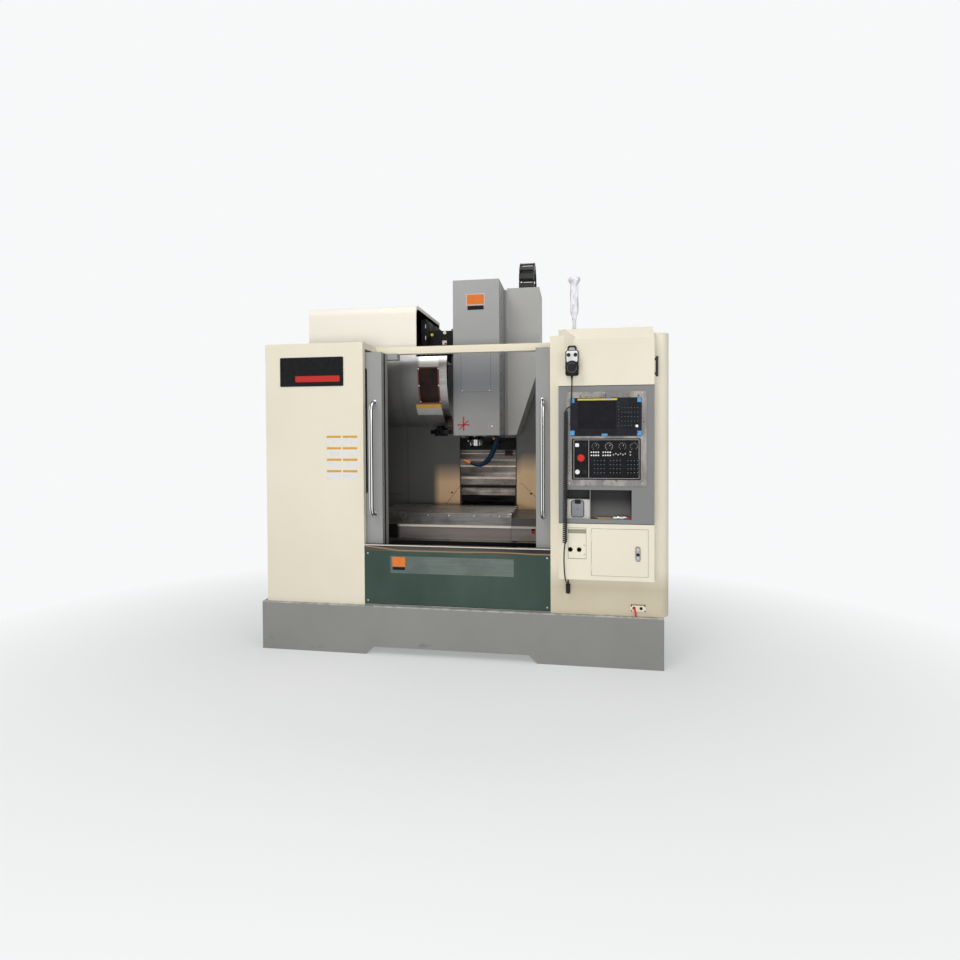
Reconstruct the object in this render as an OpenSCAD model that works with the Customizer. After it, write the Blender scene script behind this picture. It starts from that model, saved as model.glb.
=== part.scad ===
// Vertical machining centre with sliding front doors, operator console, arm type tool changer.
// Millimetres. +X to the operator's right, +Y into the machine, +Z up, floor at Z = 0.

/* [Front] */
// Width of the panel left of the doors
left_panel_w = 651; // [560:1:760]
// Width of the door opening
opening_w = 1157; // [1060:1:1240]
// Width of the cabinet right of the doors
right_cabinet_w = 682; // [620:1:800]
// Depth of both front cabinets
cabinet_depth = 259; // [240:1:300]
// Height of the enclosure above the floor
enclosure_h = 1943; // [1930:1:2000]
// Thickness of the folded cabinet panels
skin = 20; // [12:1:26]
// Height of the door sill
sill_z = 681; // [672:1:700]
// Height of the top beam
beam_h = 42; // [30:1:44]
// Depth of the top beam
beam_d = 60; // [40:1:80]

/* [Base] */
// Height of the base skirt
base_h = 303; // [270:1:320]
// Reach of the skirt beyond the left panel
base_reach = 28; // [10:1:60]
// Width of the skirt
base_w = 2484; // [2440:1:2500]
// Reach of the skirt behind the column
base_behind = 100; // [60:1:140]
// Height of the notch under the skirt
notch_h = 48; // [30:1:80]
// Width of the notch at its top
notch_w = 964; // [700:1:1100]

/* [Doors] */
// Width of one door leaf
leaf_w = 600; // [592:1:620]
// Thickness of one door leaf
leaf_t = 122; // [90:1:124]
// How far the left leaf shows when it is open
leaf_show_left = 104; // [60:1:140]
// How far the right leaf shows when it is open
leaf_show_right = 88; // [60:1:140]
// Width of the door window
window_w = 380; // [300:1:420]
// Height of the door window
window_h = 760; // [600:1:860]
// Height of the bowed handles
handle_h = 725; // [600:1:800]
// Radius of the handle tube
handle_r = 13; // [9:1:16]

/* [Axes] */
// Length of the table
table_l = 1000; // [960:1:1010]
// Depth of the table
table_d = 500; // [480:1:504]
// Thickness of the table
table_t = 88; // [80:1:92]
// Height of the table top
table_z = 795; // [790:1:800]
// Travel of the table
x_travel = 800; // [700:10:800]
// How far the table stands left of the middle of its travel
table_shift = 226; // [100:1:240]
// Number of table slots
slots = 5; // [3:1:5]
// Width of a table slot
slot_w = 18; // [14:1:22]
// Distance between table slots
slot_pitch = 80; // [70:1:95]
// Radius of the ball screws
screw_r = 18; // [14:1:20]
// Sheet thickness of the way covers
cover_t = 4; // [2:0.5:4]
// Clearance between nested way covers
cover_gap = 0.4; // [0.3:0.1:0.6]

/* [Head] */
// Width of the head cover
head_w = 329; // [300:1:332]
// Depth of the head cover
head_d = 318; // [300:1:340]
// Height of the lower edge of the head cover
head_z = 1356; // [1340:1:1370]
// Height of the top of the head cover
head_top = 2450; // [2420:1:2480]
// Radius of the spindle nose
nose_r = 44.45; // [40:0.05:50]
// Radius of the spindle cartridge
cartridge_r = 60; // [56:1:66]
// Width of the drag chain
chain_w = 113; // [90:1:116]
// Bend radius of the drag chain
chain_bend = 152; // [150:1:158]
// Chain links round the bend
arc_links = 7; // [6:1:9]

/* [Tool changer] */
// Number of tool pots
pots = 24; // [16:1:26]
// Radius of the circle of pots
pot_circle = 305; // [295:1:308]
// Radius of one tool pot
pot_r = 33; // [28:1:34]
// Half the depth of the magazine hood
hood_half = 360; // [356:1:370]
// Height of the top of the hood
hood_top = 2259; // [2230:1:2280]
// Reach of the exchange arm from its axis to the tool
arm_reach = 265; // [250:1:268]

/* [Console] */
// Width of the console
console_w = 535; // [520:1:545]
// How far the console stands in front of the cabinet
console_d = 81; // [78:1:90]
// Height of the lower edge of the console
console_z = 526; // [500:1:540]
// How far the front edge of its sloped cap lies below the enclosure's top
cap_drop = 35; // [25:1:50]
// Width of the display unit
display_w = 397; // [380:1:410]
// Height of the display unit
display_h = 217; // [200:1:224]
// Radius of the stop button's head
stop_r = 20; // [16:1:24]
// Radius of the selector knobs
knob_r = 14; // [11:1:16]
// Radius of the handset's wheel
wheel_r = 38; // [32:1:40]
// Outer radius of the curly cord
coil_r = 13; // [11:1:14]

/* [Hidden] */
$fn = 48;
seat = 0.3;

// Front of the machine, measured from the middle of its width
total_w = left_panel_w + opening_w + right_cabinet_w + base_reach;
base_x = -total_w / 2;
left_x = base_x + base_reach;
open_x0 = left_x + left_panel_w;
open_x1 = open_x0 + opening_w;
right_x = open_x1 + right_cabinet_w;
front_y = -1000;
rear_y = front_y + cabinet_depth;
wall_t = 10;
corner_r = 60;
wall_gap = 470;
bed_half = 450;

// Doors, their channel and their rail
leaf_y = [front_y + 50, front_y + 50 + leaf_t];
leaf_z = [sill_z - 28, enclosure_h - 58];
channel_z = leaf_z[0] - 8;
left_lead = open_x0 + leaf_show_left;
right_lead = open_x1 - leaf_show_right;
rail_y = [rear_y - 59, rear_y - skin - 1];
rail_z = leaf_z[1] + 4;
rail_t = 10;
window_z = leaf_z[1] - 115 - window_h;
glass_t = 11.4;
rebate = 10;
handle_z = (leaf_z[0] + leaf_z[1] - handle_h) / 2 - 53.5;
handle_off = 81;
handle_in = 44;

// Table, saddle and their travel, from the spindle axis
spindle_y = -200;
bed_top = 482;
rest_y = 97;
table_x = -table_shift;
table_y0 = spindle_y + rest_y - table_d / 2;
table_y1 = table_y0 + table_d;
mid_y = (table_y0 + table_y1) / 2;
saddle_z = [532, 662];
guard_y = [table_y0 - 3, table_y1 + 4];
guard_t = 4;
wing_x = total_w / 2 - 59;
wing_t = 12;
wing_w = wing_x - wing_t;
x_cover_l = wing_w - x_travel / 2 - table_l / 2 - 8;
x_cover_z = table_z - 30;
x_cover_skirt = 690;
step = cover_t + cover_gap;
table_x0 = table_x - table_l / 2;
table_x1 = table_x + table_l / 2;
x_screw_z = 632;
rail_w = 36;
y_rail_x = 250;
x_rail_y = 150;
y_screw_z = 478;
y_cover_w = 320;
y_cover_z = [bed_top + 8 + seat, 580];
y_cover_l = 270;
y_cover_short = 6;
y_front_end = front_y + 30;
y_rear_end = 580;
y_lo = guard_y[0] - guard_t;
y_hi = guard_y[1] + guard_t;

// Column and head
column_x = 10;
column_y = [400, 900];
column_top = 2250;
z_rail_x = 170;
z_cover_y = 320;
z_cover_w = 466;
z_cover_l = 230;
z_cover_bottoms = [1090, 923, 805, 690];
z_screw_y = 430;
carriage_z = 1330;
head_x = [-130, -130 + head_w];
head_y = [-397, -397 + head_d];
side_x = [219, 460];
side_y = [-79, 300];
side_top = head_top + 5;
chain_x = [301, 301 + chain_w];
chain_t = 50;
link_l = 2 * chain_bend * sin(90 / arc_links);
plate_t = 10;
bar_t = 7;
chain_y = 25;
chain_axis_z = 2525;
bend_notch = 8;

// Tool changer
disc_z = 1795;
hood_z = 1900;
hood_x = [-1136, -356];
hood_t = 4;
cover_r = sqrt(pow(hood_half, 2) + pow(hood_z - disc_z, 2));
guard_x = [-631, -140];
arm_x = -arm_reach;
arm_z = [1366, 1396];
arm_rest = -68;
jaw_r = 32.5;
mag_win_x = [-342, -193];
mag_win_a = [-34.4, 4.7];

// Console
console_x = [open_x1 + 51, open_x1 + 51 + console_w];
console_y = front_y - console_d;
console_top = enclosure_h - cap_drop;
frame_x = [console_x[0] + 46, console_x[0] + 491];
// Heights on the console keep their share of its height
console_rise = (console_top - console_z) / 1382;
function on_console(low, high) = [console_z + low * console_rise, console_z + high * console_rise];
frame_z = on_console(543, 1080);
frame_t = 6;
face_y = console_y - frame_t;
display_x = console_x[0] + 67;
display_z = console_z + 827 * console_rise;
panel_x = [console_x[0] + 76, console_x[0] + 459];
panel_z = on_console(578, 813);
panel_t = 4;
button_y = face_y - panel_t;
stop_at = [console_x[0] + 127, console_z + 703 * console_rise];
knob_x = [console_x[0] + 209, console_x[0] + 284, console_x[0] + 359, console_x[0] + 422];
knob_z = console_z + 768 * console_rise;
niche_x = [console_x[0] + 33, console_x[0] + 410];
niche_z = on_console(351, 519);
store_x = [console_x[0] + 184, console_x[0] + 502];
store_z = on_console(25, 297);
store_t = 14;
plate_x = [console_x[0] + 53, console_x[0] + 154];
plate_z = on_console(120, 292);
latch_x = store_x[1] - 58;
latch_z = store_z[0] + 133;
latch_h = 84;
latch_w = 26;
knuckle_r = 4;
knuckle_z = [store_z[0] + 30, store_z[1] - 70];
knuckle_h = 40;

// Handset and its cord
handset_x = console_x[0] + 78;
handset_z = [console_top - 211, console_top - 69];
handset_t = 45;
handset_w = 74;
wheel_z = handset_z[0] + 43;
wheel_y = console_y - handset_t;
wheel_t = 24;
cord_r = 3;
gland_x = open_x1 + 103;
gland_y = front_y - 32;
gland_z = [console_z - 95, console_z - 42];
lead_points = [
    for (p = [
        [77, -23, 0], [77, -23, -37], [76, -24, -77], [75, -25, -117], [74, -26, -149],
        [70, -27, -171], [60, -28, -180], [49, -29, -185], [44, -29, -197]
    ]) [console_x[0] + p[0], console_y + p[1], handset_z[0] + p[2]]
];
tail_points = [
    for (p = [
        [-17, -76, 251], [-19, -76, 231], [-21, -75, 206], [-22, -75, 166], [-21, -74, 116],
        [-18, -71, 72], [-14, -62, 42], [-9, -47, 24], [-4, -28, 16], [-1, -10, 11], [0, 0, 0]
    ]) [gland_x + p[0], gland_y + p[1], gland_z[1] + p[2]]
];
coil_points = [lead_points[len(lead_points) - 1], tail_points[0]];

// Lamp
lamp_at = [open_x1 + 142, front_y + 100];
lamp_z = [enclosure_h + 167, enclosure_h + 327];

// Rear units
elec_x = [-380, 380];
elec_y = [940, 1135];
elec_z = [560, 1900];
elec_door_t = 15;
tank_x = [bed_half + 50, base_x + base_w - 95];
tank_y = [500, 930];
tank_z = [60, 460];

// A box between three pairs of limits
module box(x, y, z) {
    translate([x[0], y[0], z[0]])
        cube([x[1] - x[0], y[1] - y[0], z[1] - z[0]]);
}

module rod_x(x, y, z, r) {
    translate([x[0], y, z]) rotate([0, 90, 0]) cylinder(r = r, h = x[1] - x[0]);
}

module rod_y(x, y, z, r) {
    translate([x, y[0], z]) rotate([-90, 0, 0]) cylinder(r = r, h = y[1] - y[0]);
}

module rod_z(x, y, z, r) {
    translate([x, y, z[0]]) cylinder(r = r, h = z[1] - z[0]);
}

// A front view outline, extruded from front to back
module front_outline(points, y) {
    translate([0, y[1], 0]) rotate([90, 0, 0]) linear_extrude(y[1] - y[0]) polygon(points);
}

// A side view outline in Y and Z, extruded from left to right
module side_outline(points, x) {
    translate([x[0], 0, 0]) rotate([90, 0, 90]) linear_extrude(x[1] - x[0]) polygon(points);
}

// A rectangle with four round corners
module round_rect(size, r) {
    translate([r, 0]) square([size[0] - 2 * r, size[1]]);
    translate([0, r]) square([size[0], size[1] - 2 * r]);
    for (x = [r, size[0] - r], y = [r, size[1] - r])
        translate([x, y]) circle(r = r);
}

// A plate with rounded corners that faces the operator
module face_plate(x, y, z, r) {
    translate([x[0], y[1], z[0]]) rotate([90, 0, 0])
        linear_extrude(y[1] - y[0]) round_rect([x[1] - x[0], z[1] - z[0]], r);
}

// Way covers: a folded sheet open underneath, along X, along Y, or upright and open to the back
module cover_x(x, half, z) {
    difference() {
        box(x, [mid_y - half, mid_y + half], z);
        box([x[0] - 1, x[1] + 1], [mid_y - half + cover_t, mid_y + half - cover_t],
            [z[0] - 1, z[1] - cover_t]);
    }
}

module cover_y(y, half, z) {
    difference() {
        box([-half, half], y, z);
        box([-half + cover_t, half - cover_t], [y[0] - 1, y[1] + 1], [z[0] - 1, z[1] - cover_t]);
    }
}

module cover_z(i) {
    half = z_cover_w / 2 - i * step;
    y0 = z_cover_y + i * step;
    z = [z_cover_bottoms[i], z_cover_bottoms[i] + z_cover_l];
    difference() {
        box([column_x - half, column_x + half], [y0, z_cover_y + 52], z);
        box([column_x - half + cover_t, column_x + half - cover_t], [y0 + cover_t, z_cover_y + 53],
            [z[0] - 1, z[1] + 1]);
    }
}

// Guide carriage over a rail of the saddle or the table
module carriage(size, rail, lift) {
    difference() {
        translate([-size[0] / 2, -size[1] / 2, 0]) cube([size[0], size[1], size[2]]);
        translate([-rail / 2 - seat, -size[1], -1]) cube([rail + 2 * seat, 2 * size[1], lift + 1]);
    }
}

module bed() {
    color("dimgray") {
        difference() {
            front_outline([
                [-bed_half, 60], [bed_half, 60], [bed_half, 300], [345, bed_top], [-345, bed_top],
                [-bed_half, 300]
            ], [-720, 320]);
            box([-90, 90], [-700, 331], [bed_top - 52, bed_top + 1]);
        }
        front_outline([
            [-bed_half, 60], [bed_half, 60], [bed_half, bed_top], [-bed_half, bed_top]
        ], [320, column_y[1]]);
        for (x = [-y_rail_x, y_rail_x])
            box([x - rail_w / 2, x + rail_w / 2], [-700, 315], [bed_top, bed_top + 38]);
        for (y = [-700, 290]) difference() {
            box([-60, 60], [y, y + 30], [bed_top - 52, bed_top + 34]);
            rod_y(0, [y - 1, y + 31], y_screw_z, screw_r + seat);
        }
        box([-60, 60], [-870, -720], [y_screw_z - 60, y_screw_z + 60]);
        box([-y_cover_w + step, y_cover_w - step], [y_front_end, -718],
            [bed_top - 2, y_cover_z[0] - seat]);
        for (y = [[y_front_end, y_front_end + y_cover_l - y_cover_short],
                  [y_rear_end - y_cover_l, y_rear_end]])
            cover_y(y, y_cover_w - 2 * step, [bed_top, y_cover_z[1] - 2 * step]);
        for (x = [-380, 380], y = [-640, 60, 800]) {
            rod_z(x, y, [0, 28], 55);
            rod_z(x, y, [28, 60], 18);
        }
    }
}

module base_skirt() {
    x0 = base_x;
    x1 = base_x + base_w;
    y0 = front_y - 21;
    y1 = column_y[1] + base_behind;
    notch_x = (open_x0 + open_x1) / 2 - 32;
    color("slategray") {
        difference() {
            box([x0, x1], [y0, y1], [0, base_h]);
            box([x0 + skin, x1 - skin], [y0 + skin, y1 - skin], [-1, base_h - 8]);
            box([-470, 470], [rear_y + 5, y1 - 60], [base_h - 9, base_h + 1]);
            box([x0 + 80, x1 - 80], [340, y1 - 60], [base_h - 9, base_h + 1]);
            front_outline([
                [notch_x - notch_w / 2 - notch_h - 2, -1], [notch_x + notch_w / 2 + notch_h + 2, -1],
                [notch_x + notch_w / 2, notch_h], [notch_x - notch_w / 2, notch_h]
            ], [y0 - 1, y0 + skin + 1]);
        }
    }
}

module column() {
    color("dimgray") {
        difference() {
            front_outline([
                [-bed_half, bed_top], [bed_half, bed_top], [bed_half, 700], [330, 1150], [330, column_top],
                [-310, column_top], [-310, 1150], [-bed_half, 700]
            ], column_y);
            front_outline([
                [-345, bed_top - 1], [345, bed_top - 1], [345, 600], [300, 640], [-300, 640],
                [-345, 600]
            ], [column_y[0] - 1, 760]);
            box([column_x - 80, column_x + 80], [column_y[0] - 1, 490], [700, column_top + 1]);
        }
        for (x = [column_x - z_rail_x, column_x + z_rail_x])
            box([x - rail_w / 2, x + rail_w / 2], [365, column_y[0]], [720, 2230]);
        for (z = [720, 2200]) difference() {
            box([column_x - 80, column_x + 80], [column_y[0], 490], [z, z + 30]);
            rod_z(column_x, z_screw_y, [z - 1, z + 31], screw_r + seat);
        }
        box([column_x - 70, column_x + 70], [z_screw_y - 50, z_screw_y + 90], [2250, 2400]);
        box([column_x - 80, column_x + 80], [column_y[0], 490], [2230, 2250]);
        channel_y = chain_y + 2 * chain_bend + chain_t / 2 + seat;
        box(chain_x, [channel_y, channel_y + 8], [1990, 2300]);
        box([chain_x[0], 330], [channel_y + 8, column_y[0]], [1990, 2240]);
    }
}

module left_cabinet() {
    color("gainsboro") difference() {
        box([left_x, open_x0], [front_y, rear_y], [base_h, enclosure_h]);
        box([left_x + skin, open_x0 - skin], [front_y + skin, rear_y - skin],
            [base_h + skin, enclosure_h - skin]);
        box([open_x0 - skin - 1, open_x0 + 1], [leaf_y[0] - 10, rear_y - skin],
            [channel_z, rail_z + rail_t + 6]);
    }
}

module right_cabinet() {
    color("gainsboro") {
        difference() {
            translate([open_x1, front_y, base_h]) linear_extrude(enclosure_h - base_h) {
                square([right_cabinet_w - corner_r, cabinet_depth]);
                translate([0, corner_r]) square([right_cabinet_w, cabinet_depth - corner_r]);
                translate([right_cabinet_w - corner_r, corner_r]) circle(r = corner_r);
            }
            box([open_x1 + skin, right_x - skin - corner_r / 2], [front_y + skin, rear_y - skin],
                [base_h + skin, enclosure_h - skin]);
            box([open_x1 - 1, open_x1 + skin + 1], [leaf_y[0] - 10, rear_y - skin],
                [channel_z, rail_z + rail_t + 6]);
        }
        rod_z(gland_x, gland_y, gland_z, 12);
        rod_y(gland_x, [gland_y, front_y], gland_z[0] + 10, 9);
    }
    color("black")
        difference() {
            box([gland_x + 401 - 44, gland_x + 401 + 44], [front_y - 6, front_y], [332, 374]);
            for (x = [gland_x + 378, gland_x + 418])
                rod_y(x, [front_y - 7, front_y - 2], 352, 7);
        }
}

module top_beam() {
    color("gainsboro") {
        box([left_x + wall_t, right_x - wall_t], [rear_y, rear_y + beam_d],
            [enclosure_h - beam_h, enclosure_h]);
        box([open_x0 + 2, open_x1 - 2], [rail_y[1] - 2, rear_y],
            [rail_z, enclosure_h - beam_h + 12]);
        box([left_x + skin + 2, right_x - 70], rail_y, [rail_z, rail_z + rail_t]);
    }
}

module front_panel() {
    y0 = front_y + 8;
    color("darkslategray") {
        box([open_x0, open_x1], [y0, y0 + 12], [base_h, sill_z - 40]);
        box([open_x0, open_x1], [y0, leaf_y[0] - 8], [channel_z - 12, sill_z]);
        box([open_x0, open_x1], [y0, rear_y], [channel_z - 12, channel_z]);
        box([open_x0, open_x1], [leaf_y[1] + 8, rear_y], [channel_z - 12, sill_z]);
    }
}

module enclosure_walls() {
    z = [base_h, enclosure_h];
    color("gainsboro") {
        for (x = [left_x, right_x - wall_t])
            box([x, x + wall_t], [rear_y, z_cover_y + 2 + wall_t], z);
        box([left_x + wall_t, column_x - z_cover_w / 2 - 4], [z_cover_y + 2, z_cover_y + 2 + wall_t],
            [650, enclosure_h]);
        box([column_x + z_cover_w / 2 + 4, right_x - wall_t], [z_cover_y + 2, z_cover_y + 2 + wall_t],
            [650, enclosure_h]);
        for (x = [[left_x + wall_t, -bed_half - 2], [bed_half + 2, right_x - wall_t]])
            box(x, [z_cover_y + 2, z_cover_y + 2 + wall_t], [base_h, 650]);
        for (x = [[-bed_half - 2, -352], [352, bed_half + 2]])
            box(x, [z_cover_y + 2, z_cover_y + 2 + wall_t], [bed_top + 2, 650]);
        box([-352, 352], [z_cover_y + 2, z_cover_y + 2 + wall_t], [604, 650]);
        for (s = [-1, 1]) {
            x1 = s < 0 ? left_x + wall_t : right_x - wall_t;
            front_outline(s < 0 ?
                [[x1, 470], [-wall_gap, 330], [-wall_gap, 340], [x1, 480]] :
                [[wall_gap, 330], [x1, 470], [x1, 480], [wall_gap, 340]],
                [rear_y + 2, z_cover_y + 2]);
            box(s < 0 ? [x1, x1 + 20] : [x1 - 20, x1], [rear_y + beam_d, z_cover_y + 2],
                [enclosure_h - 10, enclosure_h]);
        }
    }
}

module console_shell() {
    back = front_y;
    color("lightgray") {
        difference() {
            side_outline([
                [back, console_z], [back, enclosure_h], [back + 48, enclosure_h],
                [back + 48, enclosure_h + 36], [back - 4, enclosure_h + 36],
                [console_y, console_top], [console_y, console_z]
            ], console_x);
            box(niche_x, [console_y - 1, back - 6], niche_z);
            box([store_x[0] + 8, store_x[1] - 8], [console_y - 1, back - 6],
                [store_z[0] + 8, store_z[1] - 8]);
            box(store_x, [console_y - 1, console_y + store_t], store_z);
            box(plate_x, [console_y - 1, console_y + 6], plate_z);
            rod_y(stop_at[0], [console_y - 1, console_y + 14], stop_at[1], 13);
            for (z = knuckle_z)
                rod_z(store_x[0] + 1.5, console_y - 1, [z - seat, z + knuckle_h + seat],
                    knuckle_r + seat);
            translate([console_x[0], console_y, console_top + 2]) rotate([0, 0, 45])
                cube([160, 120, 200], center = true);
        }
        box([niche_x[0] + 144, niche_x[0] + 148], [console_y + 2, back - 6], niche_z);
        difference() {
            box([niche_x[0], niche_x[0] + 144], [back - 40, back - 6], [niche_z[0], niche_z[1] - 60]);
            rod_y(niche_x[0] + 72, [back - 41, back - 20], niche_z[0] + 55, 22);
        }
    }
    color("whitesmoke") difference() {
        box(plate_x, [console_y + 2, console_y + 6], plate_z);
        for (x = [plate_x[0] + 13, plate_x[0] + 63])
            rod_y(x, [console_y + 1, console_y + 7], plate_z[0] + 53, 11.5);
    }
    color("black") {
        x = console_x[1];
        y = console_y + 41;
        z0 = console_top - 218;
        for (z = [z0 + 10, z0 + 92])
            box([x, x + 19], [y - 8, y + 8], [z, z + 12]);
        rod_z(x + 19, y, [z0, z0 + 114], 7);
    }
}

module panel_frame() {
    color("silver") difference() {
        face_plate(frame_x, [face_y, console_y], frame_z, 8);
        box([display_x + 12, display_x + display_w - 12], [face_y - 1, console_y + 1],
            [display_z + 12, display_z + display_h - 12]);
        box([panel_x[0] + 12, panel_x[1] - 12], [face_y - 1, console_y + 1],
            [panel_z[0] + 12, panel_z[1] - 12]);
    }
}

module display_unit() {
    x = [display_x, display_x + display_w];
    z = [display_z, display_z + display_h];
    screen_x = [x[0] + 39, x[0] + 257];
    key_x = [x[0] + 284, x[0] + 386];
    color("darkgray") {
        difference() {
            face_plate(x, [face_y - 10, face_y], z, 6);
            box(screen_x, [face_y - 11, face_y - 6], [z[0] + 38, z[1] - 16]);
        }
        box([x[0] + 13, x[1] - 13], [face_y, console_y], [z[0] + 13, z[1] - 13]);
        for (i = [0:5], j = [0:5])
            box([key_x[0] + i * 17, key_x[0] + i * 17 + 14], [face_y - 13, face_y - 10],
                [z[0] + 46 + j * 25, z[0] + 46 + j * 25 + 18]);
        for (i = [0:9])
            box([screen_x[0] + i * 22, screen_x[0] + i * 22 + 18], [face_y - 13, face_y - 10],
                [z[0] + 14, z[0] + 28]);
        rod_y(x[0] + 366, [face_y - 15, face_y - 10], z[0] + 20, 8);
    }
}

module operator_panel() {
    x = panel_x;
    y = [button_y, face_y];
    color("gainsboro") {
        difference() {
            face_plate(x, y, panel_z, 6);
            rod_y(stop_at[0], [y[0] - 1, y[1] + 1], stop_at[1], 12 + seat);
        }
        difference() {
            box([x[0] + 13, x[1] - 13], [face_y, console_y], [panel_z[0] + 13, panel_z[1] - 13]);
            rod_y(stop_at[0], [y[0] - 1, console_y + 1], stop_at[1], 12 + seat);
        }
        difference() {
            rod_y(stop_at[0], [button_y - 8, button_y], stop_at[1], 30);
            rod_y(stop_at[0], [button_y - 9, button_y + 1], stop_at[1], 12 + seat);
        }
        for (bank = [[120, 4, 4], [208, 4, 4], [304, 4, 4]], i = [0:bank[1] - 1], j = [0:bank[2] - 1])
            box([x[0] + bank[0] + i * 18, x[0] + bank[0] + i * 18 + 15], [button_y - 4, button_y],
                [panel_z[0] + 28 + j * 23, panel_z[0] + 28 + j * 23 + 19]);
        rod_y(stop_at[0] - 20, [button_y - 6, button_y], panel_z[0] + 44, 12);
        box([stop_at[0] - 34, stop_at[0] - 10], [button_y - 4, button_y],
            [knob_z - 4, knob_z + 20]);
        rod_y(knob_x[3], [button_y - 10, button_y], knob_z, 12);
    }
}

// Selector knob with a finger bar
module knob(i) {
    y1 = button_y - seat;
    color("black") {
        rod_y(knob_x[i], [y1 - 10, y1], knob_z, knob_r);
        translate([knob_x[i], y1 - 16, knob_z]) rotate([0, 30, 0])
            cube([6, 14, 2 * knob_r - 4], center = true);
    }
}

module mode_knob() {
    knob(0);
}

module feed_knob() {
    knob(1);
}

module rapid_knob() {
    knob(2);
}

module stop_button() {
    x = stop_at[0];
    z = stop_at[1];
    color("red") {
        rod_y(x, [button_y - 32, button_y - 18], z, stop_r);
        rod_y(x, [button_y - 18, console_y], z, 12);
    }
}

// Half of the hood's outline in Y and Z with a rounded front edge
function hood_outline(half, top, r) = concat(
    [[spindle_y + half, hood_z], [spindle_y + half, top]],
    [for (a = [0:15:90]) [spindle_y - half + r - r * sin(a), top - r + r * cos(a)]],
    [[spindle_y - half, hood_z]]);

module magazine_hood() {
    color("darkgray") {
        difference() {
            side_outline(hood_outline(hood_half, hood_top, 56), hood_x);
            side_outline(concat(
                [[spindle_y + hood_half - hood_t, hood_z - 1]],
                [for (p = hood_outline(hood_half - hood_t, hood_top - hood_t, 52))
                    [p[0], p[1] == hood_z ? hood_z - 1 : p[1]]]),
                [hood_x[0] + hood_t, hood_x[1] + 1]);
        }
        box([hood_x[0] + hood_t, guard_x[0] - 2],
            [spindle_y - hood_half + hood_t, spindle_y + hood_half - hood_t],
            [hood_z, hood_z + hood_t]);
    }
}

// Part of a ring about the disc's axis, between two angles above the front direction
module arc_sheet(x, r, t, angles) {
    translate([x[0], spindle_y, disc_z]) rotate([0, 90, 0]) rotate([0, 0, -90 - angles[1]])
        rotate_extrude(angle = angles[1] - angles[0], $fn = 96)
            translate([r, 0]) square([t, x[1] - x[0]]);
}

module magazine_cover() {
    lift = asin((hood_z - disc_z) / cover_r);
    color("gainsboro") {
        difference() {
            arc_sheet(guard_x, cover_r - hood_t, hood_t, [-180 - lift, lift]);
            arc_sheet([mag_win_x[0] + 14, mag_win_x[1] - 14], cover_r - hood_t - 2, hood_t + 4,
                [mag_win_a[0] + 2, mag_win_a[1] - 2]);
            rod_z(arm_x, spindle_y, [disc_z - cover_r - 2, disc_z - cover_r + 40], 72);
            box([arm_x * 2 - 50, arm_x * 2 + 50], [spindle_y - 60, spindle_y + 60],
                [disc_z - cover_r - 2, disc_z - cover_r + 20]);
        }
        arc_sheet([guard_x[0], guard_x[0] + 4], 60, cover_r - 60 - hood_t, [-180 - lift, lift]);
    }
}

module magazine_window() {
    color("saddlebrown") arc_sheet(mag_win_x, cover_r, 4, mag_win_a);
}

module changer_gearbox() {
    plate_x = [hood_x[1], hood_x[1] + 40];
    color("black") {
        difference() {
            union() {
                box(plate_x, [-420, 620], [1960, 2180]);
                box(plate_x, [spindle_y - 80, spindle_y + 80], [1740, 1960]);
                box([plate_x[1], -310], [column_y[0], 620], [1960, 2180]);
            }
            rod_x([plate_x[0] - 1, plate_x[1] + 1], spindle_y, disc_z, 30 + seat);
        }
        box([plate_x[1], -150], [-330, -70], [1960, 2110]);
        difference() {
            rod_z(arm_x, spindle_y, [1426, 1960], 50);
            rod_z(arm_x, spindle_y, [1425, 1700], 30 + seat);
        }
    }
}

module magazine_disc() {
    disc_x = [-462, -450];
    color("dimgray") {
        rod_x(disc_x, spindle_y, disc_z, pot_circle);
        rod_x([-500, disc_x[1]], spindle_y, disc_z, 75);
        rod_x([disc_x[1], hood_x[1] + 40], spindle_y, disc_z, 30);
        for (i = [0:pots - 1]) translate([0, spindle_y, disc_z]) rotate([360 / pots * i, 0, 0])
            difference() {
                rod_x([-592, disc_x[0] + 6], 0, pot_circle, pot_r);
                rod_x([-593, -505], 0, pot_circle, 22);
            }
    }
}

module tool_arm() {
    color("dimgray") translate([arm_x, spindle_y, 0]) rotate([0, 0, arm_rest]) {
        rod_z(0, 0, [arm_z[0], 1690], 30);
        rod_z(0, 0, [arm_z[0] - 14, arm_z[1] + 12], 48);
        for (a = [0, 180]) rotate([0, 0, a]) {
            box([0, arm_reach - 42], [-26, 26], arm_z);
            difference() {
                rod_z(arm_reach, 0, arm_z, 49);
                rod_z(arm_reach, 0, [arm_z[0] - 1, arm_z[1] + 1], jaw_r);
                box([arm_reach - 20, arm_reach + 60], [0, 60], [arm_z[0] - 1, arm_z[1] + 1]);
            }
        }
    }
}

module signal_lamp() {
    color("silver") {
        rod_z(lamp_at[0], lamp_at[1], [enclosure_h, enclosure_h + 8], 35);
        rod_z(lamp_at[0], lamp_at[1], [enclosure_h + 8, lamp_z[0]], 11);
    }
    color("orange") rod_z(lamp_at[0], lamp_at[1], lamp_z, 22);
}

module lamp_wrap() {
    x = lamp_at[0];
    y = lamp_at[1];
    color("white") {
        difference() {
            rod_z(x, y, [lamp_z[0] - 60, lamp_z[1] + 14], 25);
            rod_z(x, y, [lamp_z[0] - 61, lamp_z[0]], 11 + seat);
            rod_z(x, y, [lamp_z[0] - seat, lamp_z[1] + seat], 22 + seat);
        }
        translate([x, y, lamp_z[1] + 14]) cylinder(r1 = 20, r2 = 39, h = 20);
    }
}

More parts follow.
